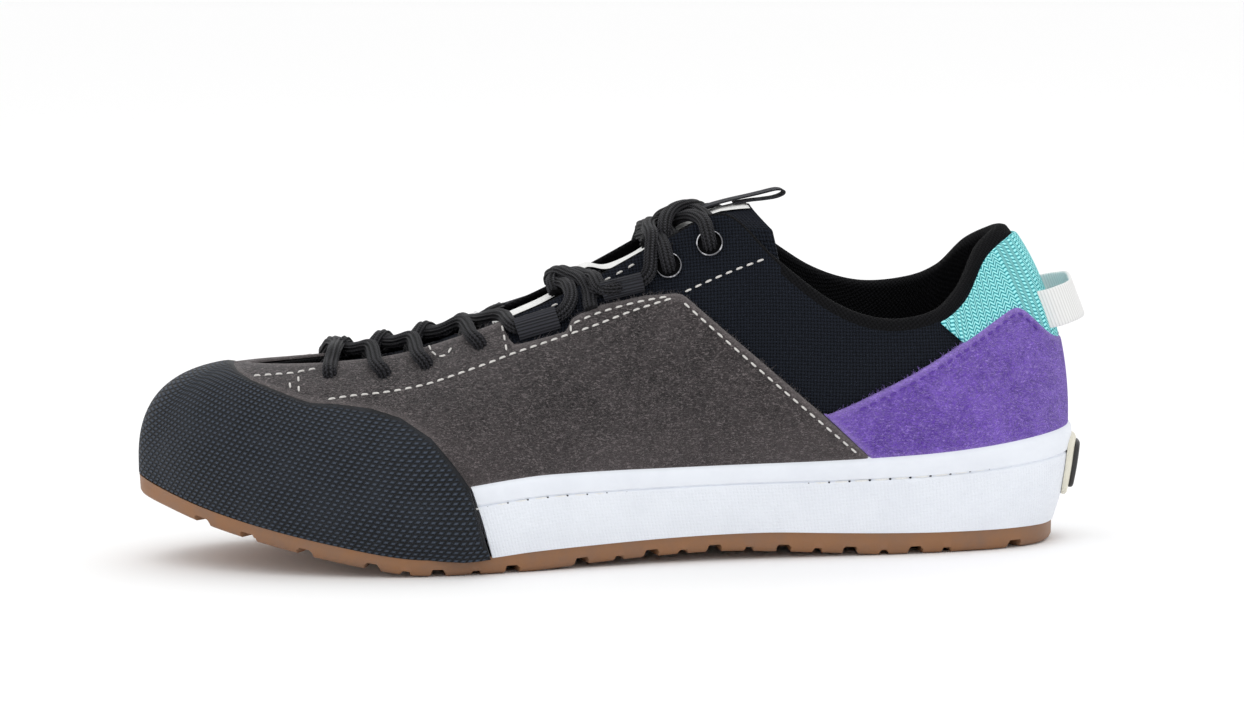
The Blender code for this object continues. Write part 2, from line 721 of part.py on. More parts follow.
# A band of even width and thickness along a path; widths gives its cross direction
def band_along(name, path, width_dirs, width, thick, mat, smooth=35.0):
    count = len(path)
    verts = []
    for i in range(count):
        a, b = path[max(i - 1, 0)], path[min(i + 1, count - 1)]
        t = (b - a) / np.linalg.norm(b - a)
        w = width_dirs[i] / np.linalg.norm(width_dirs[i])
        n = np.cross(t, w)
        n = n / np.linalg.norm(n)
        for sw, sn in ((-1, -1), (1, -1), (1, 1), (-1, 1)):
            verts.append(tuple(path[i] + w * width / 2 * sw + n * thick / 2 * sn))
    faces = [(0, 1, 2, 3), tuple(4 * (count - 1) + k for k in (3, 2, 1, 0))]
    for i in range(count - 1):
        for k in range(4):
            a, b = 4 * i + k, 4 * i + (k + 1) % 4
            faces.append((a, b, b + 4, a + 4))
    return finish_mesh(name, verts, faces, mat, smooth)


HEEL_LOOP = ((24.1, 15.4, 73.4), (29.5, 14.6, 74.4), (33.8, 12.4, 75.4), (37.4, 8.3, 76.2),
             (38.9, 3.2, 76.6))
HEEL_LOOP_LEAN = (-4.4, 0.0, 11.9)


def make_heel_loop():
    points = [np.array((x * LONG, -y * WIDE, z * HIGH)) for x, y, z in HEEL_LOOP]
    points += [np.array((p[0], -p[1], p[2])) for p in reversed(points)]
    lean = np.array(HEEL_LOOP_LEAN)
    band_along("heel_pull_loop", points, [lean] * len(points), LOOP_WIDTH, LOOP_THICK, WHITE_WEB,
               60.0)


TAB_PATH = ((80.0, 107.2), (72.0, 109.6), (62.0, 112.6), (54.5, 115.2), (52.6, 115.2),
            (53.4, 113.4), (61.0, 111.2), (66.0, 110.0))


def make_tongue_tab():
    path = [np.array((-x * LONG, 0.0, z * HIGH)) for x, z in TAB_PATH]
    across = np.array((0.0, 1.0, 0.0))
    band_along("tongue_pull_loop", path, [across] * len(path), TAB_WIDTH, TAB_THICK, BLACK_WEB)


# Points of the eyestay: setback from the edge of the throat, lift over the skin
def eyestay(along, setback, side, lift):
    u = find_along(along, side > 0, 0.9)
    low, high = 0.5, 1.0
    edge = bare(u, 1.0)
    for _ in range(30):
        mid = (low + high) / 2
        if np.linalg.norm(bare(u, mid) - edge) > setback * MM:
            low = mid
        else:
            high = mid
    return skin(u, low, lift), lift_direction(u, low), u


def ring_on(name, centre, normal, outer, hole, thick, mat, sides=11):
    helper = np.array((1.0, 0.0, 0.0))
    a = helper - normal * np.dot(helper, normal)
    a = a / np.linalg.norm(a)
    b = np.cross(normal, a)
    profile = ((hole, 0.0), (outer, 0.0), (outer - 0.0005, thick * 0.7),
               ((outer + hole) / 2, thick), (hole + 0.0002, thick * 0.6))
    verts = []
    for radius, height in profile:
        for i in range(sides):
            w = 2 * math.pi * i / sides
            verts.append(tuple(centre + a * radius * math.cos(w) + b * radius * math.sin(w)
                               + normal * height))
    finish_mesh(name, verts, rings_to_faces(sides, len(profile), True), mat, 60.0)


def make_eyelets():
    for number, (along, setback) in enumerate(LACE_ROWS[-2:], 1):
        for side, word in ((-1, "outer"), (1, "inner")):
            centre, normal, _ = eyestay(along, setback, side, 0.0006)
            ring_on("eyelet_%s_%d" % (word, number), centre, normal, EYELET_RADIUS, EYELET_HOLE,
                    EYELET_THICK, EYELET)


# Webbing tunnels that take the lace along the edge of the throat
WEB_PROFILE = ((-3.4, 0.0), (-3.3, 2.2), (-1.9, 4.3), (0.0, 5.0), (1.9, 4.3), (3.3, 2.2),
               (3.4, 0.0))


def make_webbing():
    for number, start in enumerate(WEB_STARTS, 1):
        for side, word in ((-1, "outer"), (1, "inner")):
            sections = []
            for k in range(3):
                along = start - WEB_LENGTH / MM * k / 2
                base, normal, u = eyestay(along, WEB_SETBACK, side, 0.0007)
                ahead, _, _ = eyestay(along - 1.0, WEB_SETBACK, side, 0.0007)
                t = (ahead - base) / np.linalg.norm(ahead - base)
                across = np.cross(normal, t)
                inner = []
                outer = []
                for w, h in WEB_PROFILE:
                    outer.append(base + across * w * MM + normal * h * MM)
                    shrink = 1 - WEB_WALL / 0.0034
                    inner.append(base + across * w * shrink * MM
                                 + normal * h * MM * (1 - WEB_WALL / 0.005))
                sections.append(outer + list(reversed(inner)))
            n = len(sections[0])
            verts = [tuple(p) for s in sections for p in s]
            faces = rings_to_faces(n, 3)
            half = n // 2
            for k in (0, 2):
                for i in range(half - 1):
                    faces.append(tuple(k * n + j for j in (i, i + 1, n - 2 - i, n - 1 - i)))
            finish_mesh("webbing_%s_%d" % (word, number), verts, faces, BLACK_WEB)


def smooth_path(points, steps):
    out = []
    last = len(points) - 1
    for i in range(last):
        p0, p1 = points[max(i - 1, 0)], points[i]
        p2, p3 = points[i + 1], points[min(i + 2, last)]
        for k in range(steps):
            f = k / steps
            out.append(0.5 * (2 * p1 + (p2 - p0) * f + (2 * p0 - 5 * p1 + 4 * p2 - p3) * f * f
                              + (3 * p1 - p0 - 3 * p2 + p3) * f ** 3))
    out.append(points[-1])
    return out


def tube(name, points, radius, mat, sides=6):
    up = np.array((0.0, 0.0, 1.0))
    verts = []
    count = len(points)
    for i in range(count):
        t = points[min(i + 1, count - 1)] - points[max(i - 1, 0)]
        t = t / np.linalg.norm(t)
        a = np.cross(t, up if abs(t[2]) < 0.95 else np.array((1.0, 0.0, 0.0)))
        a = a / np.linalg.norm(a)
        b = np.cross(a, t)
        for k in range(sides):
            w = 2 * math.pi * k / sides
            verts.append(tuple(points[i] + (a * math.cos(w) + b * math.sin(w)) * radius))
    faces = rings_to_faces(sides, count)
    faces.append(tuple(range(sides)))
    faces.append(tuple((count - 1) * sides + k for k in reversed(range(sides))))
    return finish_mesh(name, verts, faces, mat, 60.0)


def lace_top(along):
    return crown_height(along) + RIBBON + 0.0006 + LACE_RADIUS


ON_PANEL = PANEL_GAP + OVERLAY + GAP


# One strand from the throat beside a row to the top of the eyestay at the next row
def strand(row, side):
    start, setback = LACE_ROWS[row]
    end, end_setback = LACE_ROWS[row + 1]
    begin = start - LACE_SHIFT
    if row == 4:
        begin = WEB_STARTS[0] - WEB_LENGTH / MM - 3.0
    if row == 5:
        begin = WEB_STARTS[1] - WEB_LENGTH / MM - 3.0
    if row + 1 in (4, 5):
        end += 3.2
    ringed = row + 1 > 5
    bed = ON_PANEL if row < 3 else 0.0009
    if ringed:
        bed = EYELET_THICK + 0.0012
    last, _, _ = eyestay(end, end_setback - (1.5 if ringed else 0.0), side,
                         bed + LACE_RADIUS * 1.2)
    edge, _, _ = eyestay(end, 0.6, side, LACE_RADIUS + bed)
    middle = (begin + end) / 2
    peak = lace_top(middle) + 0.0012
    first_edge, _, _ = eyestay(begin, 0.2, -side, 0.0)
    gap_y = first_edge[1] - (-side) * 0.0052
    base = crown_height(begin)
    first = np.array((-begin * LONG, gap_y, base + LACE_RADIUS + 0.0009))
    mid = np.array((-middle * LONG, 0.0, peak))
    lift = np.array((-(begin + (end - begin) * 0.26) * LONG, gap_y * 0.55,
                     lace_top(begin + (end - begin) * 0.26) + 0.0012))
    settle = np.array((-(begin + (end - begin) * 0.76) * LONG, side * 0.0105,
                       max(lace_top(begin + (end - begin) * 0.76), edge[2]) + 0.0010))
    edge[2] += 0.0004
    return smooth_path([first, lift, mid, settle, edge, last], 2)


def make_laces():
    over = []
    along, setback = LACE_ROWS[0]
    for side in (-1, 1):
        last, _, _ = eyestay(along, setback, side, ON_PANEL + LACE_RADIUS * 1.2)
        edge, _, _ = eyestay(along, 0.8, side, LACE_RADIUS + ON_PANEL)
        over.append((last, edge))
    mid = np.array((-along * LONG, 0.0, lace_top(along) + 0.0022))
    path = [over[0][0], over[0][1], mid, over[1][1], over[1][0]]
    tube("lace_bar", smooth_path(path, 3), LACE_RADIUS, LACE)
    for row in range(len(LACE_ROWS) - 1):
        one = tube("lace_cross_%d" % (row + 1), strand(row, -1), LACE_RADIUS, LACE)
        other = tube("lace_cross_guide_%d" % (row + 1), strand(row, 1), LACE_RADIUS, LACE)
        other.hide_render = True
        other.display_type = "WIRE"
        join = one.modifiers.new("join", "BOOLEAN")
        join.operation = "UNION"
        join.solver = "EXACT"
        join.object = other


make_outsole()
make_cup()
make_upper()
make_tongue()
make_insole()
make_toe_cap()
make_overlays()
make_badge()
make_heel_loop()
make_tongue_tab()
make_eyelets()
make_webbing()
make_laces()
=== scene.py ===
import math
import bpy
import numpy as np
from mathutils import Matrix, Vector


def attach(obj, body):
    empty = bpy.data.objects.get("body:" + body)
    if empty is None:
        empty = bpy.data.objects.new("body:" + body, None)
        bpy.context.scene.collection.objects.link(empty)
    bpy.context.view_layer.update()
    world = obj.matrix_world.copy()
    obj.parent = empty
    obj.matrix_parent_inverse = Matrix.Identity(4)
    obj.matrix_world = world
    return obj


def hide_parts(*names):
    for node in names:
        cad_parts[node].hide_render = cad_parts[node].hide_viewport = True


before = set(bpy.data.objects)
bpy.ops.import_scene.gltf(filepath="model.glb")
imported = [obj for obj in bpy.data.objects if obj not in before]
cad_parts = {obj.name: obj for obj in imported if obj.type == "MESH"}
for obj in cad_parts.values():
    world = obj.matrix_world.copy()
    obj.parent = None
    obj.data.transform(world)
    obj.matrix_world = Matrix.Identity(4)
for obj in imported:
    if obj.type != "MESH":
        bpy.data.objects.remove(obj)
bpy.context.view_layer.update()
print("frame loaded")

gap = 0.0003
mm = 0.001

# The shoe's sections, heel to toe, in mm: the rows of the solids, with the toe's shoulder
# and the top of the heel fuller and the toe's sole lower as in the photograph
shoeForm = {
    "cupWall": 0.0025, "cupFloor": 0.004, "wall": 0.0016,
    "sections": (
        # along, outer, inner, topAlong, topOuter, topInner, upOuter, upInner,
        # tuck, lean, low, high, drop, ground, tread, rim, pad
        (-37.3, 0.0, 0.0, -17.0, 0.0, 0.0, 99.5, 99.5, 4.9, 10, 28, 16, 21, 0, 6.9, 37.4, 6),
        (-34.8, 11.5, 11.5, -14.6, 7.5, 7.5, 99.2, 98.5, 4.4, 9, 28, 16, 21, 0, 6.8, 36.6, 6),
        (-26.8, 23.0, 23.0, -6.5, 15.5, 16.0, 93.5, 93.5, 3.6, 7.0, 27, 12.5, 22, 0, 6.7, 35.4, 6),
        (-11.0, 31.5, 31.5, 1.0, 24.5, 24.5, 81.5, 84.5, 3.0, 5.5, 26, 8, 24, 0, 6.7, 33.8, 5.5),
        (9.0, 35.0, 34.8, 11.0, 31.0, 29.5, 74.3, 80.0, 2.6, 5, 25, 5, 20, 0, 6.8, 32.4, 5),
        (27.0, 36.0, 35.0, 27.0, 34.0, 30.5, 72.6, 79.0, 2.4, 5, 25, 3, 20, 0, 7.2, 31.6, 5),
        (45.0, 36.0, 33.8, 43.0, 32.5, 29.0, 78.5, 84.5, 2.4, 5, 25, 5, 22, 1.0, 7.8, 31.0, 4.5),
        (62.0, 36.2, 32.3, 60.0, 27.5, 25.0, 92.3, 96.5, 2.4, 5, 25, 8, 25, 2.0, 8.5, 30.6, 3.5),
        (78.0, 36.8, 31.5, 75.0, 19.5, 19.5, 106.5, 106.8, 2.4, 5, 25, 12, 27, 2.7, 8.5, 30.3, 2.2),
        (96.0, 38.7, 31.4, 93.0, 18.5, 18.5, 99.5, 99.8, 2.4, 5, 24, 14, 24, 2.3, 8.1, 30.2, 1.6),
        (116.0, 42.3, 33.8, 113.0, 18.5, 18.5, 89.3, 89.5, 2.4, 5, 22, 16, 19, 1.3, 7.4, 30.2, 1.6),
        (137.0, 47.5, 38.8, 135.0, 18.5, 18.5, 78.8, 79.0, 2.4, 5, 20, 19, 14, 0.0, 6.6, 29.8, 1.6),
        (156.0, 51.0, 44.5, 158.0, 18.5, 18.5, 70.6, 70.6, 2.2, 5, 18, 21, 11, 0.0, 5.3, 27.5, 1.6),
        (177.0, 52.0, 48.7, 178.0, 17.5, 17.5, 65.0, 64.2, 2.0, 4.5, 16, 21, 9, 0.5, 5.9, 24.0, 1.6),
        (200.0, 47.3, 50.0, 197.0, 15.5, 16.0, 62.8, 61.8, 2.0, 4.0, 16, 21, 7, 4.4, 9.9, 22, 1.6),
        (222.0, 37.6, 46.6, 210.0, 11.5, 12.5, 61.8, 61.0, 1.8, 3.0, 17, 22, 4, 9.3, 14.6, 25, 1.6),
        (240.0, 24.5, 37.8, 218.0, 7.0, 8.0, 61.4, 60.8, 1.5, 1.5, 18, 24, 2, 14.0, 19.5, 28, 1.6),
        (253.0, 9.5, 24.0, 221.0, 3.0, 4.5, 61.0, 60.7, 1.3, 0.5, 18, 25.5, 1, 18.2, 24.0, 32, 1.6),
        (260.5, -5.0, 5.0, 222.0, -1.0, 1.0, 60.8, 60.8, 1.2, 0.0, 18, 25.5, 0.5, 21.0, 27.4, 34, 1.6),
    ),
}
toeSection = len(shoeForm["sections"]) - 1
roundTrip = 2 * toeSection


def sideRow(row, inner):
    side = 1 if inner else 0
    sign = 1.0 if inner else -1.0
    return [-row[0], sign * row[1 + side], -row[3], sign * row[4 + side], row[6 + side], *row[8:]]


formRows = np.array([sideRow(r, False) for r in shoeForm["sections"]]
                    + [sideRow(shoeForm["sections"][i], True)
                       for i in range(toeSection - 1, 0, -1)]) * mm


# A smooth curve from p1 to p2, bent by the points before and after them
def curveBetween(p0, p1, p2, p3, f):
    return 0.5 * (2 * p1 + (p2 - p0) * f + (2 * p0 - 5 * p1 + 4 * p2 - p3) * f * f
                  + (3 * p1 - p0 - 3 * p2 + p3) * f ** 3)


def rowsAt(u):
    u = np.asarray(u, float)
    i = np.floor(u).astype(int)
    f = (u - i)[..., None]
    p0, p1, p2, p3 = (formRows[(i + k) % roundTrip] for k in (-1, 0, 1, 2))
    return curveBetween(p0, p1, p2, p3, f)


def outwardAt(u):
    a, b = rowsAt(np.asarray(u) - 0.02), rowsAt(np.asarray(u) + 0.02)
    n = np.stack([-(b[..., 1] - a[..., 1]), b[..., 0] - a[..., 0], 0 * a[..., 0]], -1)
    return n / np.linalg.norm(n, axis=-1, keepdims=True)


def treadAt(u):
    return rowsAt(u)[..., 11]


def groundAt(u):
    return np.maximum(rowsAt(u)[..., 10], 0.0)


def floorAt(u):
    return treadAt(u) + gap + shoeForm["cupFloor"]


# Outer skin: q from the floor (0) to the opening (1), and below 0 down to the tread (-1)
def bareAt(u, q):
    u, q = np.broadcast_arrays(np.asarray(u, float), np.asarray(q, float))
    row = rowsAt(u)
    n = outwardAt(u)
    up = np.array((0.0, 0.0, 1.0))
    foot = np.stack([row[..., 0], row[..., 1], 0 * u], -1)
    foot = foot - n * (shoeForm["cupWall"] + gap + row[..., 5])[..., None]
    foot[..., 2] = floorAt(u) + gap
    fall = (np.maximum(-q, 0) * (foot[..., 2] - treadAt(u) - gap))[..., None]
    skirt = foot - n * fall * (row[..., 6] / row[..., 7])[..., None] - up * fall
    top = row[..., 2:5]
    first = foot + n * row[..., 6:7] + up * row[..., 7:8]
    last = top + n * row[..., 8:9] - up * row[..., 9:10]
    t = np.maximum(q, 0)[..., None]
    r = 1 - t
    body = foot * r ** 3 + first * 3 * r * r * t + last * 3 * r * t * t + top * t ** 3
    return np.where(q[..., None] < 0, skirt, body)


def normalAt(u, q):
    q = np.clip(q, 0.002, 0.998)
    du = bareAt(u + 0.01, q) - bareAt(u - 0.01, q)
    dq = bareAt(u, q + 0.002) - bareAt(u, q - 0.002)
    n = np.cross(dq, du)
    return n / np.linalg.norm(n, axis=-1, keepdims=True)


# Soft troughs (-) and ridges (+) of worn cloth, the same on both sides, in mm and degrees:
# x, height, half length, half width, lean, depth
creases = (
    (-128, 52, 16, 4.0, 70, -0.45), (-122, 50, 15, 4.5, 72, 0.35), (-141, 50, 14, 4.0, 62, -0.40),
    (-60, 70, 18, 7, 40, -0.35), (-30, 58, 20, 6, 20, 0.40), (-38, 66, 22, 5, 12, -0.40),
    (-78, 88, 12, 5, 60, -0.30), (-110, 66, 22, 7, 15, 0.30), (-95, 50, 30, 8, -8, -0.30),
    (-170, 55, 10, 4, 35, -0.35), (12, 58, 12, 7, 80, -0.35), (22, 50, 9, 6, 60, 0.3),
)
creaseShare = 0.8


def creaseAt(p):
    rise = np.zeros(p.shape[:-1])
    for x, z, long, wide, lean, depth in creases:
        a = math.radians(lean)
        dx, dz = p[..., 0] / mm - x, p[..., 2] / mm - z
        s = dx * math.cos(a) + dz * math.sin(a)
        w = -dx * math.sin(a) + dz * math.cos(a)
        rise += depth * np.exp(-(s / long) ** 2 - (w / wide) ** 2)
    return rise * mm * creaseShare


# Lines read off the photograph lie this far outside the bare skin
seenLift = 0.0018


def skinAt(u, q, lift=0.0, soft=False):
    p = bareAt(u, q)
    n = normalAt(np.asarray(u, float), np.asarray(q, float))
    lift = np.asarray(lift, float)
    if soft:
        lift = lift + creaseAt(p) * np.clip(np.sin(np.pi * np.clip(q, 0, 1)) * 1.6, 0, 1)
    return p + n * np.broadcast_to(lift, p.shape[:-1])[..., None]


def crossAt(u, edge, start=0.0, end=1.0, pick=0):
    xs, zs = np.array(edge, float).T
    q = np.linspace(start, end, 201)
    p = skinAt(np.asarray(u)[:, None], q[None, :], seenLift)
    over = p[..., 2] / mm - np.interp(-p[..., 0] / mm, xs, zs)
    out = np.empty(len(u))
    for k, line in enumerate(over):
        change = np.nonzero((line[1:] > 0) != (line[:-1] > 0))[0]
        if len(change):
            j = change[pick]
            out[k] = q[j] + (q[1] - q[0]) * abs(line[j]) / (abs(line[j]) + abs(line[j + 1]))
        else:
            out[k] = end if line[-1] < 0 else start
    return out


def qAtHeight(u, height):
    low, high = np.zeros(np.shape(u)), np.full(np.shape(u), 0.98)
    for _ in range(26):
        mid = (low + high) / 2
        below = bareAt(u, mid)[..., 2] < height
        low, high = np.where(below, mid, low), np.where(below, high, mid)
    return low


def rimAt(u):
    return qAtHeight(u, rowsAt(u)[..., 12])


def uAtAlong(along, inner, q):
    along = np.asarray(along, float)
    low, high = np.zeros(along.shape), np.full(along.shape, float(toeSection))
    for _ in range(26):
        mid = (low + high) / 2
        less = -bareAt(roundTrip - mid if inner else mid, q)[..., 0] < along * mm
        low, high = np.where(less, mid, low), np.where(less, high, mid)
    return roundTrip - low if inner else low


# Places on the skin given in the side view: mm along towards the toe, mm up
def placeAt(along, height, inner=False):
    along, height = np.asarray(along, float), np.asarray(height, float)
    q = np.full(along.shape, 0.5)
    shift = np.zeros(along.shape + (3,))
    for _ in range(9):
        u = uAtAlong(along + shift[..., 0] / mm, inner, q)
        q = qAtHeight(u, height * mm - shift[..., 2])
        shift = normalAt(u, q) * seenLift
    return u, q


def wallAt(u, q):
    pad = rowsAt(u)[..., 13]
    rise = np.clip((np.asarray(q) - 0.45) / 0.35, 0, 1)
    full = rise * rise * (3 - 2 * rise)
    wall = shoeForm["wall"]
    return wall + np.maximum(pad - wall, 0) * full


# Mesh helpers
def buildMesh(name, verts, faces, mats, uvs=None, faceMats=None, sharp=50.0, edge=None):
    mesh = bpy.data.meshes.new(name)
    mesh.from_pydata([tuple(v) for v in np.asarray(verts, float)], [],
                     [tuple(int(i) for i in f) for f in faces])
    for mat in mats:
        mesh.materials.append(mat)
    if faceMats is not None:
        mesh.polygons.foreach_set("material_index", np.asarray(faceMats, np.int32))
    loops = np.empty(len(mesh.loops), np.int32)
    mesh.loops.foreach_get("vertex_index", loops)
    if uvs is not None:
        layer = mesh.uv_layers.new(name="flow")
        layer.data.foreach_set("uv", np.asarray(uvs, np.float32)[loops].ravel())
    if edge is not None:
        layer = mesh.attributes.new("edge", "FLOAT", "POINT")
        layer.data.foreach_set("value", np.asarray(edge, np.float32))
    mesh.shade_smooth()
    mesh.set_sharp_from_angle(angle=math.radians(sharp))
    mesh.update()
    made = bpy.data.objects.new(name, mesh)
    bpy.context.scene.collection.objects.link(made)
    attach(made, "root")
    return made


def gridFaces(rows, cols, start=0, wrap=False, flip=False):
    r, c = np.meshgrid(np.arange(rows - 1), np.arange(cols if wrap else cols - 1), indexing="ij")
    d = (c + 1) % cols
    quads = np.stack([r * cols + c, r * cols + d, (r + 1) * cols + d, (r + 1) * cols + c], -1)
    quads = quads.reshape(-1, 4) + start
    return quads[:, ::-1] if flip else quads


def flowOf(grid, across=None):
    # arc lengths along and across a grid of points, as texture coordinates in metres
    rows, cols = grid.shape[:2]
    mid = grid[rows // 2 if across is None else across]
    along = np.concatenate([[0], np.cumsum(np.linalg.norm(np.diff(mid, axis=0), axis=1))])
    up = np.cumsum(np.linalg.norm(np.diff(grid, axis=0), axis=2), axis=0)
    up = np.concatenate([np.zeros((1, cols)), up])
    return np.stack([np.broadcast_to(along, (rows, cols)), up], -1)


# Faces of a closed sheet: an upper grid, a lower one and the strips between their borders
def sheetFaces(rows, cols):
    n = rows * cols
    a = np.arange(cols - 1)
    b = (rows - 1) * cols + a
    r = np.arange(rows - 1) * cols
    e = r + cols - 1
    return np.concatenate([
        gridFaces(rows, cols), gridFaces(rows, cols, n, flip=True),
        np.stack([a + 1, a, a + n, a + 1 + n], -1), np.stack([b, b + 1, b + 1 + n, b + n], -1),
        np.stack([r, r + cols, r + cols + n, r + n], -1),
        np.stack([e + cols, e, e + n, e + cols + n], -1)])


# A closed sheet on the skin between two edges, with rounded borders
def layPatch(name, u, qLow, qHigh, lift, thick, mats, rows=26, soft=True, roundEdge=0.0016,
             roundEnds=True, liftOf=None):
    u = np.asarray(u, float)
    low, high = np.asarray(qLow, float), np.asarray(qHigh, float)
    span = np.linalg.norm(bareAt(u, high) - bareAt(u, low), axis=-1) + 1e-6
    steps = np.array((0.0, 0.12, 0.35, 0.68, 1.0))
    near = np.minimum(roundEdge, span * 0.3)[None, :] * steps[:, None] / span[None, :]
    inner = np.linspace(0, 1, rows)[1:-1][:, None]
    t = np.concatenate([near, near[-1] + inner * (1 - 2 * near[-1]), 1 - near[::-1]])
    q = low + (high - low) * t
    uu = np.broadcast_to(u, q.shape)
    distance = np.minimum(t, 1 - t) * span
    face = bareAt(uu, q)
    flow = flowOf(face)
    if roundEnds:
        ends = np.minimum(flow[..., 0], flow[..., 0].max() - flow[..., 0])
        distance = np.minimum(distance, ends)
    s = np.clip(distance / roundEdge, 0, 1)
    crown = 0.3 + 0.7 * np.sqrt(1 - (1 - s) ** 2)
    base = lift if liftOf is None else liftOf(uu, q, face)
    height = base + thick * crown
    top = skinAt(uu, q, height, soft)
    low = skinAt(uu, q, base + 0 * q, soft)
    verts = np.concatenate([top.reshape(-1, 3), low.reshape(-1, 3)])
    faces = sheetFaces(*q.shape)
    if np.dot(np.cross(top[1, 0] - top[0, 0], top[0, 1] - top[0, 0]),
              normalAt(uu, q)[0, 0]) > 0:
        faces = faces[:, ::-1]
    uvs = np.concatenate([flow.reshape(-1, 2)] * 2)
    edge = np.concatenate([distance.ravel(), 0 * distance.ravel()])
    return buildMesh(name, verts, faces, mats, uvs, edge=edge)


# A socket takes a link from another socket, or else a plain value
def feedSocket(tree, socket, value):
    if isinstance(value, bpy.types.NodeSocket):
        tree.links.new(value, socket)
    else:
        socket.default_value = value


# Shader helpers: a small pen that adds and links nodes
class NodePen:
    def __init__(self, tree):
        self.tree = tree

    def add(self, kind, values=None, **settings):
        node = self.tree.nodes.new(kind)
        for key, value in settings.items():
            setattr(node, key, value)
        for key, value in (values or {}).items():
            feedSocket(self.tree, node.inputs[key], value)
        return node

    def math(self, operation, a, b=0.0, c=0.0):
        node = self.add("ShaderNodeMath", {0: a, 1: b}, operation=operation)
        if operation in ("MULTIPLY_ADD", "SMOOTH_MAX", "SMOOTH_MIN"):
            feedSocket(self.tree, node.inputs[2], c)
        return node.outputs[0]

    def mix(self, factor, a, b):
        node = self.add("ShaderNodeMix", data_type="RGBA")
        for socket, value in ((node.inputs[0], factor), (node.inputs[6], a), (node.inputs[7], b)):
            feedSocket(self.tree, socket, value)
        return node.outputs[2]

    def ramp(self, value, low, high):
        node = self.add("ShaderNodeMapRange", {0: value, 1: low, 2: high})
        return node.outputs[0]


def newGroup(name, inputs, outputs):
    group = bpy.data.node_groups.new(name, "ShaderNodeTree")
    for label, kind, value in inputs:
        socket = group.interface.new_socket(name=label, in_out="INPUT", socket_type=kind)
        if value is not None:
            socket.default_value = value
    for label, kind in outputs:
        group.interface.new_socket(name=label, in_out="OUTPUT", socket_type=kind)
    pen = NodePen(group)
    return group, pen, pen.add("NodeGroupInput"), pen.add("NodeGroupOutput")


# Plain weave of two sets of threads, turned by an angle
def makeWeave():
    group, pen, come, out = newGroup(
        "threadWeave", (("Flow", "NodeSocketVector", None), ("Pitch", "NodeSocketFloat", 0.0008),
                        ("Turn", "NodeSocketFloat", 0.0), ("Unevenness", "NodeSocketFloat", 0.15)),
        (("Height", "NodeSocketFloat"), ("Gap", "NodeSocketFloat"), ("Tone", "NodeSocketFloat")))
    spin = pen.add("ShaderNodeVectorRotate", {"Vector": come.outputs["Flow"],
                                              "Angle": come.outputs["Turn"]},
                   rotation_type="Z_AXIS")
    wobble = pen.add("ShaderNodeTexNoise", {"Vector": come.outputs["Flow"], "Scale": 900.0,
                                            "Detail": 2.0})
    parts = pen.add("ShaderNodeSeparateXYZ", {0: spin.outputs[0]})
    shake = pen.math("MULTIPLY", pen.math("SUBTRACT", wobble.outputs[0], 0.5),
                     come.outputs["Unevenness"])
    waves = []
    for axis in (0, 1):
        x = pen.math("DIVIDE", parts.outputs[axis], come.outputs["Pitch"])
        waves.append(pen.math("SINE", pen.math("MULTIPLY", pen.math("ADD", x, shake), math.pi)))
    over = pen.math("MULTIPLY", waves[0], waves[1])
    warp = pen.math("MULTIPLY", pen.math("ABSOLUTE", waves[0]),
                    pen.math("MULTIPLY_ADD", over, 0.5, 0.5))
    weft = pen.math("MULTIPLY", pen.math("ABSOLUTE", waves[1]),
                    pen.math("MULTIPLY_ADD", over, -0.5, 0.5))
    height = pen.math("MAXIMUM", warp, weft)
    pen.tree.links.new(height, out.inputs["Height"])
    pen.tree.links.new(pen.ramp(height, 0.38, 0.12), out.inputs["Gap"])
    tone = pen.math("MULTIPLY_ADD", wobble.outputs[0], 0.6, pen.math("MULTIPLY", height, 0.5))
    pen.tree.links.new(tone, out.inputs["Tone"])
    return group


# Zigzag weave: threads that step up and down across the cloth
def makeZigzag():
    group, pen, come, out = newGroup(
        "zigzagWeave", (("Flow", "NodeSocketVector", None), ("Wide", "NodeSocketFloat", 0.0029),
                        ("Tall", "NodeSocketFloat", 0.0012)),
        (("Height", "NodeSocketFloat"), ("Gap", "NodeSocketFloat")))
    parts = pen.add("ShaderNodeSeparateXYZ", {0: come.outputs["Flow"]})
    u = pen.math("DIVIDE", parts.outputs[0], come.outputs["Wide"])
    v = pen.math("DIVIDE", parts.outputs[1], come.outputs["Tall"])
    turn = pen.math("ABSOLUTE", pen.math("SUBTRACT", pen.math("FRACT", u), 0.5))
    line = pen.math("FRACT", pen.math("MULTIPLY_ADD", turn, 2.2, v))
    height = pen.math("SINE", pen.math("MULTIPLY", line, math.pi))
    corner = pen.math("ABSOLUTE", pen.math("SUBTRACT", pen.math("MULTIPLY", turn, 2.0), 0.5))
    dip = pen.ramp(corner, 0.36, 0.5)
    height = pen.math("SUBTRACT", height, pen.math("MULTIPLY", dip, 0.35))
    pen.tree.links.new(height, out.inputs["Height"])
    pen.tree.links.new(pen.ramp(height, 0.55, 0.2), out.inputs["Gap"])
    return group


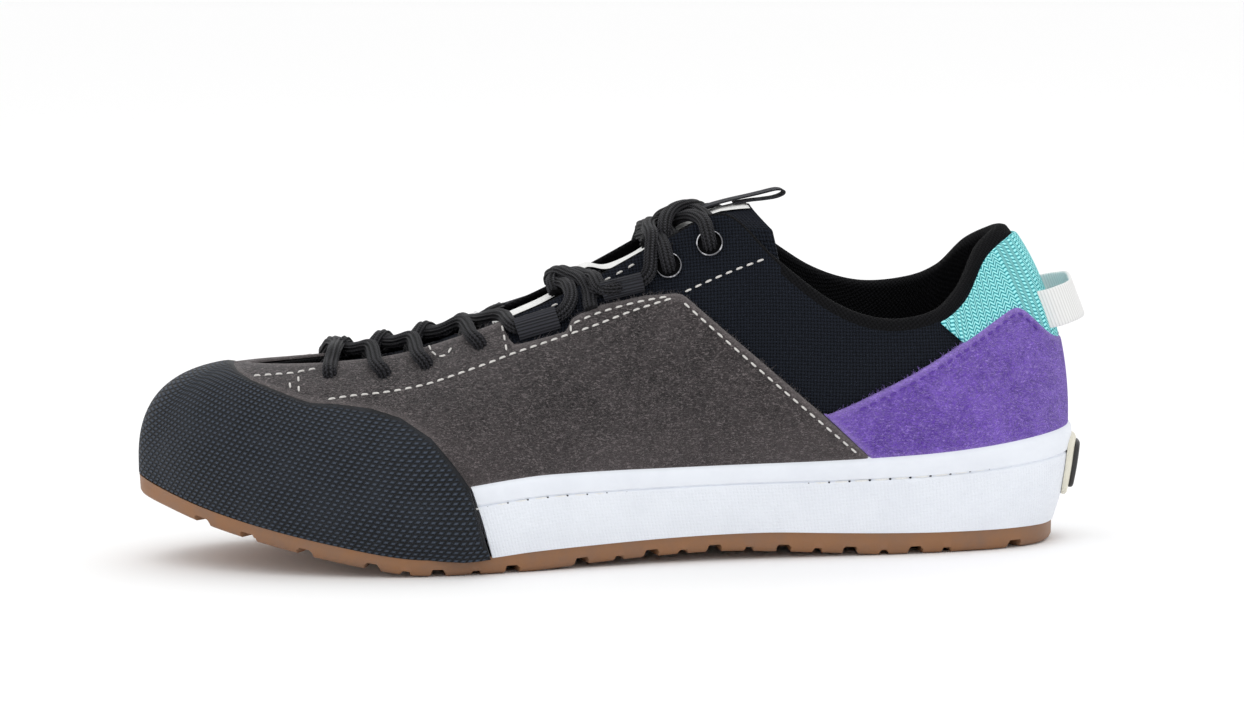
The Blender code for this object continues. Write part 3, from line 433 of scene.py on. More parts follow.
# Nap of suede: broad brushed patches, mottling and short fibres
def makeNap():
    group, pen, come, out = newGroup(
        "suedeNap", (("Place", "NodeSocketVector", None), ("Fibre", "NodeSocketFloat", 1.0)),
        (("Tone", "NodeSocketFloat"), ("Height", "NodeSocketFloat"),
         ("Fibres", "NodeSocketFloat"), ("Curls", "NodeSocketFloat")))
    place = come.outputs["Place"]
    curl = pen.add("ShaderNodeTexNoise", {"Vector": place, "Scale": 520.0, "Detail": 1.0,
                                          "Roughness": 0.5, "Distortion": 2.6})
    ring = pen.math("ABSOLUTE", pen.math("SUBTRACT", curl.outputs[0], 0.5))
    pen.tree.links.new(pen.ramp(ring, 0.03, 0.0), out.inputs["Curls"])
    broad = pen.add("ShaderNodeTexNoise", {"Vector": place, "Scale": 28.0, "Detail": 3.0,
                                           "Roughness": 0.6, "Distortion": 0.8})
    mottle = pen.add("ShaderNodeTexNoise", {"Vector": place, "Scale": 240.0, "Detail": 4.0,
                                            "Roughness": 0.7})
    stretch = pen.add("ShaderNodeVectorMath", {0: place, 1: (1.0, 1.0, 2.2)}, operation="MULTIPLY")
    fibre = pen.add("ShaderNodeTexNoise", {"Vector": stretch.outputs[0], "Scale": 1050.0,
                                           "Detail": 2.0, "Roughness": 0.7, "Distortion": 1.2})
    tone = pen.math("ADD", pen.math("MULTIPLY", broad.outputs[0], 0.3),
                    pen.math("MULTIPLY", mottle.outputs[0], 0.3))
    tone = pen.math("ADD", tone, pen.math("MULTIPLY", fibre.outputs[0], 0.4))
    pen.tree.links.new(tone, out.inputs["Tone"])
    height = pen.math("ADD", pen.math("MULTIPLY", mottle.outputs[0], 0.5),
                      pen.math("MULTIPLY", pen.math("MULTIPLY", fibre.outputs[0], 0.9),
                               come.outputs["Fibre"]))
    pen.tree.links.new(height, out.inputs["Height"])
    pen.tree.links.new(pen.ramp(fibre.outputs[0], 0.53, 0.68), out.inputs["Fibres"])
    return group


# Scuffs and dust, as a mask of broken patches
def makeScuff():
    group, pen, come, out = newGroup(
        "scuffDust", (("Place", "NodeSocketVector", None), ("Amount", "NodeSocketFloat", 0.5)),
        (("Mask", "NodeSocketFloat"), ("Speck", "NodeSocketFloat")))
    place = come.outputs["Place"]
    patch = pen.add("ShaderNodeTexNoise", {"Vector": place, "Scale": 60.0, "Detail": 5.0,
                                           "Roughness": 0.7})
    speck = pen.add("ShaderNodeTexNoise", {"Vector": place, "Scale": 700.0, "Detail": 3.0,
                                           "Roughness": 0.8})
    soft = pen.math("MULTIPLY", pen.ramp(patch.outputs[0], 0.42, 0.75), come.outputs["Amount"])
    pen.tree.links.new(soft, out.inputs["Mask"])
    pen.tree.links.new(pen.ramp(speck.outputs[0], 0.62, 0.72), out.inputs["Speck"])
    return group


# Staggered rows of small oblong pips
def makePips():
    group, pen, come, out = newGroup(
        "rubberPips", (("Flow", "NodeSocketVector", None), ("Long", "NodeSocketFloat", 0.0022),
                       ("Tall", "NodeSocketFloat", 0.0016)),
        (("Height", "NodeSocketFloat"),))
    parts = pen.add("ShaderNodeSeparateXYZ", {0: come.outputs["Flow"]})
    v = pen.math("DIVIDE", parts.outputs[1], come.outputs["Tall"])
    row = pen.math("FLOOR", v)
    shift = pen.math("MULTIPLY", pen.math("MODULO", row, 2.0), 0.5)
    # each pip leans, so that its ends are cut on the slant
    lean = pen.math("MULTIPLY_ADD", pen.math("FRACT", v), 0.45, shift)
    u = pen.math("ADD", pen.math("DIVIDE", parts.outputs[0], come.outputs["Long"]), lean)
    fu = pen.math("ABSOLUTE", pen.math("SUBTRACT", pen.math("FRACT", u), 0.5))
    fv = pen.math("ABSOLUTE", pen.math("SUBTRACT", pen.math("FRACT", v), 0.5))
    side = pen.math("MAXIMUM", pen.math("MULTIPLY", fu, 2.1), pen.math("MULTIPLY", fv, 2.3))
    both = pen.math("ADD", pen.math("MULTIPLY", fu, 1.15), pen.math("MULTIPLY", fv, 1.3))
    shape = pen.math("MAXIMUM", side, both)
    pen.tree.links.new(pen.ramp(shape, 1.0, 0.45), out.inputs["Height"])
    return group


weaveGroup, napGroup, scuffGroup, pipGroup = makeWeave(), makeNap(), makeScuff(), makePips()
zigzagGroup = makeZigzag()


def newFinish(name, roughness, **sockets):
    mat = bpy.data.materials.new(name)
    mat.use_nodes = True
    pen = NodePen(mat.node_tree)
    shader = mat.node_tree.nodes["Principled BSDF"]
    shader.inputs["Roughness"].default_value = roughness
    for key, value in sockets.items():
        shader.inputs[key.replace("_", " ")].default_value = value
    flow = pen.add("ShaderNodeUVMap", uv_map="flow").outputs[0]
    place = pen.add("ShaderNodeTexCoord").outputs["Object"]
    return mat, pen, shader, flow, place


def useGroup(pen, group, values):
    node = pen.add("ShaderNodeGroup")
    node.node_tree = group
    for key, value in values.items():
        feedSocket(pen.tree, node.inputs[key], value)
    return node


def bumpInto(pen, shader, height, distance, strength=1.0):
    bump = pen.add("ShaderNodeBump", {"Height": height, "Distance": distance,
                                      "Strength": strength})
    pen.tree.links.new(bump.outputs[0], shader.inputs["Normal"])


def rgb(r, g, b):
    # a colour read off the photograph, 0 to 255
    return tuple(((c / 255 + 0.055) / 1.055) ** 2.4 if c > 10 else c / 255 / 12.92
                 for c in (r, g, b)) + (1.0,)


def wovenFinish(name, dark, light, pitch, depth, turn=0.0, rough=0.85, uneven=0.15, sheen=0.0,
                gapColor=None):
    mat, pen, shader, flow, place = newFinish(name, rough, Sheen_Weight=sheen,
                                              Specular_IOR_Level=0.12)
    weave = useGroup(pen, weaveGroup, {"Flow": flow, "Pitch": pitch, "Turn": turn,
                                       "Unevenness": uneven})
    color = pen.mix(weave.outputs["Tone"], dark, light)
    if gapColor:
        color = pen.mix(weave.outputs["Gap"], color, gapColor)
    pen.tree.links.new(color, shader.inputs["Base Color"])
    bumpInto(pen, shader, weave.outputs["Height"], depth)
    return mat


def suedeFinish(name, dark, light, fibreColor, fibres=0.6, curls=0.2, depth=0.0007, low=0.0):
    mat, pen, shader, flow, place = newFinish(name, 0.95, Sheen_Weight=0.25, Sheen_Roughness=0.5,
                                              Specular_IOR_Level=0.1)
    nap = useGroup(pen, napGroup, {"Place": place, "Fibre": 1.0})
    tone = pen.ramp(nap.outputs["Tone"], 0.38, 0.62)
    # paler towards the sole
    height = pen.add("ShaderNodeSeparateXYZ", {0: place}).outputs[2]
    tone = pen.math("ADD", tone, pen.math("MULTIPLY", pen.ramp(height, 0.052, 0.030), low))
    color = pen.mix(tone, dark, light)
    color = pen.mix(pen.math("MULTIPLY", nap.outputs["Fibres"], fibres), color, fibreColor)
    color = pen.mix(pen.math("MULTIPLY", nap.outputs["Curls"], curls), color, fibreColor)
    # painted highlight: paler along the cut edge, where the raised edge catches the light
    rim = pen.add("ShaderNodeAttribute", attribute_name="edge").outputs["Fac"]
    edgeHighlight = pen.math("MULTIPLY", pen.ramp(rim, 0.0034, 0.0003), 0.3)
    color = pen.mix(edgeHighlight, color, fibreColor)
    pen.tree.links.new(color, shader.inputs["Base Color"])
    height = pen.math("MULTIPLY_ADD", nap.outputs["Curls"], curls, nap.outputs["Height"])
    bumpInto(pen, shader, height, depth)
    return mat


def rubberFinish(name, base, dusty, rough, amount, depth=0.00006, fine=900.0):
    mat, pen, shader, flow, place = newFinish(name, rough, Specular_IOR_Level=0.4)
    scuff = useGroup(pen, scuffGroup, {"Place": place, "Amount": amount})
    color = pen.mix(scuff.outputs["Mask"], base, dusty)
    pen.tree.links.new(color, shader.inputs["Base Color"])
    grain = pen.add("ShaderNodeTexNoise", {"Vector": place, "Scale": fine, "Detail": 3.0})
    bumpInto(pen, shader, grain.outputs[0], depth)
    return mat


canvasFinish = wovenFinish("blackCanvas", rgb(0, 1, 2), rgb(36, 41, 52), 0.00105, 0.0007,
                           gapColor=rgb(0, 0, 1))
liningFinish = wovenFinish("liningMesh", rgb(3, 3, 4), rgb(24, 24, 27), 0.0011, 0.0005,
                           turn=0.6, rough=0.9, gapColor=rgb(3, 3, 3))
suedeGrey = suedeFinish("greySuede", rgb(30, 27, 28), rgb(69, 63, 64), rgb(152, 143, 143),
                        0.55, 0.12, low=0.5)
suedePurple = suedeFinish("purpleSuede", rgb(82, 46, 152), rgb(138, 102, 214), rgb(198, 172, 246),
                          0.42, 0.3)
gumFinish = rubberFinish("gumRubber", rgb(141, 100, 68), rgb(122, 96, 80), 0.5, 0.9)
creamFinish = rubberFinish("creamRubber", rgb(228, 224, 208), rgb(206, 200, 180), 0.5, 0.4)
plateFinish = rubberFinish("darkPlate", rgb(44, 43, 44), rgb(66, 64, 62), 0.45, 0.5)
threadFinish = wovenFinish("whiteThread", rgb(172, 168, 165), rgb(242, 240, 236), 0.0003, 0.00006,
                           turn=0.785, rough=0.7)
# painted shade for the needle holes of the sole wall
needleHoleShade = wovenFinish("needleHoleShade", rgb(14, 15, 20), rgb(52, 54, 62), 0.0003, 0.00006,
                         turn=0.785, rough=0.7)
purpleThread = wovenFinish("purpleThread", rgb(74, 46, 132), rgb(112, 80, 180), 0.0003, 0.00006,
                           turn=0.785, rough=0.7)
shadeFinish = wovenFinish("eyeletShade", rgb(0, 0, 1), rgb(8, 8, 10), 0.0011, 0.0002)
insoleFinish = wovenFinish("insoleCloth", rgb(18, 18, 20), rgb(44, 44, 48), 0.0007, 0.0001)
ribbonWhite = wovenFinish("ribbonWhite", rgb(214, 214, 212), rgb(250, 250, 248), 0.0005, 0.00008,
                          rough=0.75)


def makeTealFinish():
    mat, pen, shader, flow, place = newFinish("tealMesh", 0.7, Specular_IOR_Level=0.3)
    weave = useGroup(pen, zigzagGroup, {"Flow": flow, "Wide": 0.0029, "Tall": 0.00125})
    color = pen.mix(weave.outputs["Height"], rgb(50, 224, 234), rgb(176, 255, 255))
    color = pen.mix(weave.outputs["Gap"], color, rgb(0, 146, 160))
    pen.tree.links.new(color, shader.inputs["Base Color"])
    bumpInto(pen, shader, weave.outputs["Height"], 0.0005)
    return mat


def makeToeFinish():
    mat, pen, shader, flow, place = newFinish("toeRubber", 0.6, Specular_IOR_Level=0.3)
    pips = useGroup(pen, pipGroup, {"Flow": flow, "Long": 0.00215, "Tall": 0.00138})
    scuff = useGroup(pen, scuffGroup, {"Place": place, "Amount": 0.35})
    rim = pen.add("ShaderNodeAttribute", attribute_name="edge").outputs["Fac"]
    clear = pen.ramp(rim, 0.0005, 0.0011)
    height = pen.math("MULTIPLY", pips.outputs[0], clear)
    # painted highlight and painted shade: the pip tops are painted lighter and the gaps darker; the
    # smooth band along the rim takes the dark gap colour
    color = pen.mix(height, rgb(3, 5, 9), rgb(57, 66, 80))
    color = pen.mix(scuff.outputs["Mask"], color, rgb(58, 63, 72))
    pen.tree.links.new(color, shader.inputs["Base Color"])
    bumpInto(pen, shader, height, 0.0014)
    return mat


def makeCupFinish():
    mat, pen, shader, flow, place = newFinish("whiteSoleWall", 0.5, Specular_IOR_Level=0.4)
    scuff = useGroup(pen, scuffGroup, {"Place": place, "Amount": 0.5})
    rim = pen.add("ShaderNodeAttribute", attribute_name="edge").outputs["Fac"]
    below = pen.ramp(rim, 0.0076, 0.0082)
    weave = useGroup(pen, weaveGroup, {"Flow": flow, "Pitch": 0.0011, "Turn": 0.0,
                                       "Unevenness": 0.6})
    color = pen.mix(scuff.outputs["Mask"], rgb(232, 236, 243), rgb(218, 222, 230))
    pen.tree.links.new(color, shader.inputs["Base Color"])
    bumpInto(pen, shader, pen.math("MULTIPLY", weave.outputs["Height"], below), 0.00012)
    return mat


def makeRibFinish(name, dark, light, pitch, depth, axis=1):
    mat, pen, shader, flow, place = newFinish(name, 0.75, Specular_IOR_Level=0.3)
    parts = pen.add("ShaderNodeSeparateXYZ", {0: flow})
    wave = pen.math("ABSOLUTE", pen.math("SINE", pen.math(
        "MULTIPLY", pen.math("DIVIDE", parts.outputs[axis], pitch), math.pi)))
    weave = useGroup(pen, weaveGroup, {"Flow": flow, "Pitch": 0.0004, "Turn": 0.0,
                                       "Unevenness": 0.2})
    height = pen.math("MULTIPLY_ADD", weave.outputs["Height"], 0.3, wave)
    pen.tree.links.new(pen.mix(pen.ramp(height, 0.1, 1.1), dark, light),
                       shader.inputs["Base Color"])
    bumpInto(pen, shader, height, depth)
    return mat


def makeLaceFinish():
    mat, pen, shader, flow, place = newFinish("blackLace", 0.5, Specular_IOR_Level=0.3)
    weave = useGroup(pen, weaveGroup, {"Flow": flow, "Pitch": 0.0007, "Turn": 0.785,
                                       "Unevenness": 0.2})
    groove = pen.add("ShaderNodeAttribute", attribute_name="edge").outputs["Fac"]
    # painted highlight and painted shade: the braid's crests are painted lighter than its hollows, and
    # the lengthwise grooves are painted darker still
    color = pen.mix(weave.outputs["Height"], rgb(0, 0, 1), rgb(58, 58, 64))
    color = pen.mix(groove, color, rgb(0, 0, 1))
    pen.tree.links.new(color, shader.inputs["Base Color"])
    bumpInto(pen, shader, weave.outputs["Height"], 0.0006)
    return mat


def makeEyeletFinish():
    mat, pen, shader, flow, place = newFinish("blackEyelet", 0.25, Metallic=1.0)
    chips = pen.add("ShaderNodeTexNoise", {"Vector": place, "Scale": 420.0, "Detail": 3.0})
    color = pen.mix(pen.ramp(chips.outputs[0], 0.5, 0.6), rgb(112, 112, 116), rgb(206, 206, 210))
    pen.tree.links.new(color, shader.inputs["Base Color"])
    return mat


toeFinish, cupFinish, tealFinish = makeToeFinish(), makeCupFinish(), makeTealFinish()
webWhite = makeRibFinish("whiteWebbing", rgb(212, 212, 211), rgb(236, 236, 235), 0.0009, 0.00008, 0)
webBlack = makeRibFinish("blackWebbing", rgb(3, 3, 4), rgb(52, 53, 60), 0.0011, 0.0004, 1)
laceFinish, eyeletFinish = makeLaceFinish(), makeEyeletFinish()
print("finishes made")

# Camera at the photograph's angle to the shoe
cameraView = {"lens": 137.28, "elevation": 6.5, "azimuth": 5.0, "roll": -0.961, "distance": 1.5,
              "target": (-0.10606, 0.0, 0.06155)}


def placeCamera():
    v = cameraView
    e, a, r = (math.radians(v[k]) for k in ("elevation", "azimuth", "roll"))
    back = Vector((-math.sin(a) * math.cos(e), -math.cos(a) * math.cos(e), math.sin(e)))
    right = (-back).cross(Vector((0, 0, 1))).normalized()
    up = right.cross(-back)
    right, up = (math.cos(r) * right + math.sin(r) * up, -math.sin(r) * right + math.cos(r) * up)
    data = bpy.data.cameras.new("photoCamera")
    data.lens, data.sensor_width, data.clip_start = v["lens"], 36.0, 0.05
    camera = bpy.data.objects.new("photoCamera", data)
    bpy.context.scene.collection.objects.link(camera)
    turn = Matrix((right, up, back)).transposed().to_4x4()
    turn.translation = Vector(v["target"]) + back * v["distance"]
    camera.matrix_world = turn
    bpy.context.scene.camera = camera


placeCamera()


# Upper: canvas outside, mesh lining inside, a rolled edge between them
upperPiece = {"columns": 432, "outerRows": 56, "innerRows": 34, "crownRows": 9,
              "bandFrom": 0.955, "bandSections": 6.9}


def makeUpper():
    cfg = upperPiece
    u = np.linspace(0, roundTrip, cfg["columns"], endpoint=False)
    qOut = np.linspace(0, 1, cfg["outerRows"]) ** 0.9
    outer = skinAt(u[None, :], qOut[:, None], 0.0, True)
    topWall = wallAt(u, np.ones_like(u))
    edge = skinAt(u, np.ones_like(u))
    n = normalAt(u, np.full_like(u, 0.97))
    along = bareAt(u, np.ones_like(u)) - bareAt(u, np.full_like(u, 0.97))
    along /= np.linalg.norm(along, axis=-1, keepdims=True)
    crown = []
    for k in range(1, cfg["crownRows"]):
        a = math.pi * k / cfg["crownRows"]
        across = (topWall * (1 - math.cos(a)) / 2)[:, None]
        rise = np.minimum(topWall * 0.5, 0.0021)[:, None] * math.sin(a)
        crown.append(edge - n * across + along * rise)
    qIn = np.linspace(1, 0, cfg["innerRows"])
    uu, qq = np.broadcast_arrays(u[None, :], qIn[:, None])
    inner = skinAt(uu, qq, -wallAt(uu, qq))
    grid = np.concatenate([outer, np.array(crown), inner])
    rows, cols = grid.shape[:2]
    flow = flowOf(grid, cfg["outerRows"] // 2)
    verts = grid.reshape(-1, 3)
    faces = gridFaces(rows, cols, wrap=True)
    base = np.arange(cols)
    last = (rows - 1) * cols + base
    rim = np.stack([last, (base + 1) % cols + (rows - 1) * cols, (base + 1) % cols, base], -1)
    faces = np.concatenate([faces, rim])[:, ::-1]
    row = faces.min(axis=1) // cols
    column = u[faces.min(axis=1) % cols]
    half = np.minimum(column, roundTrip - column)
    mats = np.where(row >= cfg["outerRows"] - 1, 1, 0)
    bandRow = np.searchsorted(qOut, cfg["bandFrom"])
    mats = np.where((row >= bandRow) & (half < cfg["bandSections"]), 1, mats)
    piece = buildMesh("upperShell", verts, faces, [canvasFinish, liningFinish],
                      flow.reshape(-1, 2), mats)
    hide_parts("upper")


makeUpper()
print("upper made")

# Edges of the overlays in the side view: mm along towards the toe, mm up
overlayEdges = {
    "cap": ((150.0, -5.0), (152.0, 5.3), (158.0, 27.3), (162.0, 33.3), (169.0, 42.6),
            (178.0, 48.6), (187.0, 51.4), (198.0, 52.8), (204.8, 53.0), (209.2, 54.2),
            (215.9, 56.6), (222.7, 59.0), (227.0, 61.2), (229.5, 64.0), (231.0, 75.0)),
    "panelTop": ((32.0, 31.0), (33.0, 32.0), (46.6, 44.8), (67.1, 63.3), (82.2, 76.9),
                 (87.6, 81.9), (89.6, 83.3), (91.6, 83.6), (101.1, 83.1), (114.5, 80.6),
                 (122.6, 77.4), (124.4, 76.0), (125.6, 73.0), (128.0, 72.3), (140.6, 69.3),
                 (142.8, 69.4), (144.0, 71.8), (145.6, 78.0), (150.0, 92.0), (240.0, 92.0)),
    "counterTop": ((-40.0, 64.0), (-31.0, 65.2), (-27.5, 67.3), (-23.4, 71.2), (-19.8, 75.0),
                   (-18.0, 76.1), (-16.1, 75.9), (-10.1, 72.7), (1.3, 66.3), (19.0, 56.8),
                   (37.8, 48.0), (46.3, 44.7), (60.0, 37.0)),
    "counterFront": ((-60.0, 0.0), (31.6, 0.0), (32.2, 31.0), (46.2, 44.7), (60.0, 57.6)),
    "meshFront": ((-60.0, 0.0), (0.6, 0.0), (1.1, 66.0), (9.4, 73.2), (9.8, 90.0), (20.0, 90.0)),
}
panelPiece = {"gap": 0.0005, "thick": 0.0013, "from": 5.3, "to": 17.95, "step": 0.05}
counterPiece = {"gap": 0.0004, "thick": 0.0014, "reach": 6.15, "step": 0.06}
meshPiece = {"gap": 0.0003, "thick": 0.0010, "reach": 4.15, "step": 0.05}


def capTop(u):
    return np.minimum(crossAt(u, overlayEdges["cap"]), 0.972)


fuzzPiece = {"perColumn": 4, "short": 0.0005, "long": 0.0019, "radius": 0.00006, "sides": 3,
             "rings": 4}


# Loose fibres that stand out of a cut edge of suede
def makeFuzz(name, u, q, lift, mat):
    cfg = fuzzPiece
    chance = np.random.default_rng(len(name) + 11)
    count = len(u) * cfg["perColumn"]
    place = chance.uniform(0, len(u) - 1, count)
    uu, qq = np.interp(place, np.arange(len(u)), u), np.interp(place, np.arange(len(u)), q)
    foot = skinAt(uu, qq - 0.004, lift, True)
    n = normalAt(uu, qq)
    up = bareAt(uu, qq) - bareAt(uu, qq - 0.01)
    up /= np.linalg.norm(up, axis=-1, keepdims=True)
    side = np.cross(n, up)
    way = up + n * chance.uniform(-0.1, 0.7, (count, 1)) + side * chance.normal(0, 0.5, (count, 1))
    bend = side * chance.normal(0, 0.5, (count, 1)) - n * 0.3
    tall = cfg["short"] + (cfg["long"] - cfg["short"]) * chance.uniform(0, 1, (count, 1)) ** 2.5
    w = np.linspace(0, 2 * np.pi, cfg["sides"], endpoint=False)
    rings = []
    for s in np.linspace(0, 1, cfg["rings"]):
        middle = foot + (way * s + bend * s * s) * tall
        fat = cfg["radius"] * (1.0 - 0.6 * s)
        rings.append(middle[:, None] + fat * (side[:, None] * np.cos(w)[None, :, None]
                                              + n[:, None] * np.sin(w)[None, :, None]))
    grid = np.stack(rings, 1)
    size = cfg["rings"] * cfg["sides"]
    faces = [tuple(f) for k in range(count)
             for f in gridFaces(cfg["rings"], cfg["sides"], k * size, wrap=True)]
    for k in range(count):
        faces.append(tuple(range(k * size, k * size + cfg["sides"]))[::-1])
        faces.append(tuple(range((k + 1) * size - cfg["sides"], (k + 1) * size)))
    verts = grid.reshape(-1, 3)
    piece = buildMesh(name, verts, faces, [mat], verts[:, ::2])


def makePanel(inner):
    cfg = panelPiece
    u = np.arange(cfg["from"], cfg["to"] + 1e-6, cfg["step"])
    places = roundTrip - u if inner else u
    low = np.where(u < 12.35, rimAt(places) - 0.03, capTop(places) - 0.02)
    low = np.maximum(low, np.where(u > 11.6, capTop(places) - 0.02, 0.0))
    high = np.minimum(crossAt(places, overlayEdges["panelTop"], 0.05), 0.985)
    high = np.maximum(high, low + 0.004)
    name = "sidePanelInner" if inner else "sidePanelOuter"
    piece = layPatch(name, places, low, high, cfg["gap"], cfg["thick"], [suedeGrey], rows=34)
    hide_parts("side_panel_inner" if inner else "side_panel_outer")
    bare = u < 12.0
    makeFuzz("suedeFuzz" + ("Inner" if inner else "Outer"), places[bare], high[bare],
             cfg["gap"] + cfg["thick"] * 0.5, suedeGrey)


def makeHeel():
    cfg = counterPiece
    u = np.arange(-cfg["reach"], cfg["reach"] + 1e-6, cfg["step"])
    low = np.maximum(rimAt(u) - 0.03, crossAt(u % roundTrip, overlayEdges["counterFront"], 0.02))
    high = crossAt(u % roundTrip, overlayEdges["counterTop"], 0.1)
    kernel = np.hanning(11)
    high = np.convolve(np.pad(high, 5, mode="edge"), kernel / kernel.sum(), "valid")
    high = np.maximum(np.minimum(high, 0.9), low + 0.004)
    piece = layPatch("heelCounter", u, low, high, cfg["gap"], cfg["thick"], [suedePurple],
                     rows=30)
    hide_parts("heel_counter")
    makeFuzz("suedeFuzzHeel", u, high,
             cfg["gap"] + cfg["thick"] * 0.5, suedePurple)
    cfg = meshPiece
    u = np.arange(-cfg["reach"], cfg["reach"] + 1e-6, cfg["step"])
    low = crossAt(u % roundTrip, overlayEdges["counterTop"], 0.1) - 0.03
    low = np.maximum(low, crossAt(u % roundTrip, overlayEdges["meshFront"], 0.1,
                                  pick=-1))
    high = np.interp(np.abs(u), (0.0, 1.5, 3.0, 4.2), (0.966, 0.962, 0.955, 0.962))
    keep = low < high - 0.006
    u, low, high = u[keep], low[keep], high[keep]
    piece = layPatch("heelMeshPanel", u, low, high, cfg["gap"], cfg["thick"], [tealFinish],
                     rows=26)
    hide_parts("heel_mesh_panel")


makePanel(False)
makePanel(True)
makeHeel()
print("panels made")

# Toe rubber down to the outsole
capPiece = {"gap": 0.0004, "thick": 0.0022, "start": 11.72}


def makeToeCap():
    cfg = capPiece
    near = np.arange(cfg["start"], 13.0, 0.03)
    half = np.concatenate([near, np.arange(13.0, toeSection + 1e-6, 0.06)])
    u = np.concatenate([half, roundTrip - half[::-1][1:]])
    top = crossAt(u, overlayEdges["cap"], -1.0)
    top = np.minimum(top, 0.972)
    keep = top > -0.93
    u, top = u[keep], top[keep]

    def lift(uu, q, face):
        side = np.minimum(uu, roundTrip - uu)
        rise = np.clip((12.7 - side) / 0.5, 0, 1)
        return cfg["gap"] + rise * 0.0026 * np.clip(1 - (q - 0.42) / 0.1, 0, 1)

    piece = layPatch("toeCapRubber", u, np.full_like(u, -1.0), top, cfg["gap"], cfg["thick"],
                     [toeFinish], rows=54, soft=False, roundEdge=0.0013, roundEnds=False,
                     liftOf=lift)
    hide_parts("toe_cap")


makeToeCap()

# White sole wall with its grooved stitch line
cupPiece = {"columns": 520, "grooveDown": 0.0071, "grooveDepth": 0.0006, "grooveWide": 0.0007,
            "frontLow": 151.6, "frontHigh": 157.6, "stitchPitch": 0.0063, "down": 0.0254,
            "lip": 0.0011, "lipDown": 0.0016, "bulge": 0.0003}


def cupFront(inner):
    low = uAtAlong(cupPiece["frontLow"], inner, -1.0)
    high = uAtAlong(cupPiece["frontHigh"], inner, 0.3)
    return low, high


def makeCup():
    cfg = cupPiece
    lowO, highO = cupFront(False)
    lowI, highI = (v - roundTrip for v in cupFront(True))
    s = np.linspace(0, 1, cfg["columns"])
    span = cfg["down"]
    drops = np.concatenate([[0.0, 0.0004, 0.0010, 0.0018], np.arange(0.003, 0.0064, 0.0008),
                            cfg["grooveDown"] + cfg["grooveWide"] * np.array(
                                (-1.0, -0.7, -0.35, 0.0, 0.35, 0.7, 1.0)),
                            np.linspace(0.0088, span, 14)])
    outer = gap + shoeForm["cupWall"]
    rows = []
    for d in drops:
        f = d / span
        u = (highI + (lowI - highI) * f) + s * ((highO + (lowO - highO) * f)
                                                - (highI + (lowI - highI) * f))
        rim = rowsAt(u)[..., 12]
        base = treadAt(u) + gap
        z = rim - (rim - base) * f
        floor = floorAt(u) + gap
        q = np.where(z > floor, qAtHeight(u, z), -(floor - z) / (floor - base))
        groove = cfg["grooveDepth"] * math.exp(-((d - cfg["grooveDown"])
                                                 / (cfg["grooveWide"] * 0.45)) ** 2)
        lip = cfg["lip"] * max(0.0, 1 - d / cfg["lipDown"]) ** 2
        bulge = cfg["bulge"] * math.sin(math.pi * min(d / cfg["grooveDown"], 1.0))
        rows.append((u, q, outer - groove - lip + bulge, d))
    face = np.array([skinAt(u, q, lift) for u, q, lift, d in rows])
    u, q = rows[0][0], rows[0][1]
    over = [skinAt(u, q, lift) + np.array((0, 0, up)) for lift, up in
            ((outer - 0.0016, 0.00045), (0.0017, 0.0005), (0.0012, 0.0003))]
    hidden = skinAt(u, np.maximum(q - 0.06, 0.02), 0.0019)
    back = []
    for k in range(4):
        f = (k + 1) / 4
        uu, qq = rows[int((len(rows) - 1) * f)][:2]
        back.append(skinAt(uu, np.maximum(qq, -1.0), 0.0004))
    grid = np.concatenate([np.array(back[::-1]), hidden[None], np.array(over[::-1]), face])
    flow = flowOf(grid)
    count, cols = grid.shape[:2]
    edge = np.concatenate([np.zeros((count - len(drops), cols)),
                           np.broadcast_to(drops[:, None], (len(drops), cols))])
    faces = gridFaces(count, cols)
    a = np.arange(cols - 1)
    b = (count - 1) * cols + a
    faces = np.concatenate([faces, np.stack([a, b, b + 1, a + 1], -1)])
    verts = grid.reshape(-1, 3)
    ends = [[r * cols for r in range(count)], [r * cols + cols - 1 for r in range(count)][::-1]]
    faces = [tuple(f) for f in faces[:, ::-1]] + [tuple(e[::-1]) for e in ends]
    piece = buildMesh("soleWall", verts, faces, [cupFinish], flow.reshape(-1, 2),
                      edge=edge.ravel())
    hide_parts("midsole_cup")


makeCup()


# The middle line of a ring that starts at the heel and has mirrored places
def spineOf(line):
    return (line + line[-np.arange(len(line)) % len(line)]) / 2


# Outsole with notches all round its edge
solePiece = {"columns": 1400, "deep": 0.0024, "wide": 0.0042, "reach": 0.013,
             "notches": (-15.0, 17.6, 38.3, 59.2, 81.0, 100.9, 122.9, 144.8, 167.9, 188.2,
                         208.7, 226.0, 240.0),
             "halfNotches": (7.6, 27.6, 48.6, 70.1, 90.9, 111.1, 156.0, 178.0)}


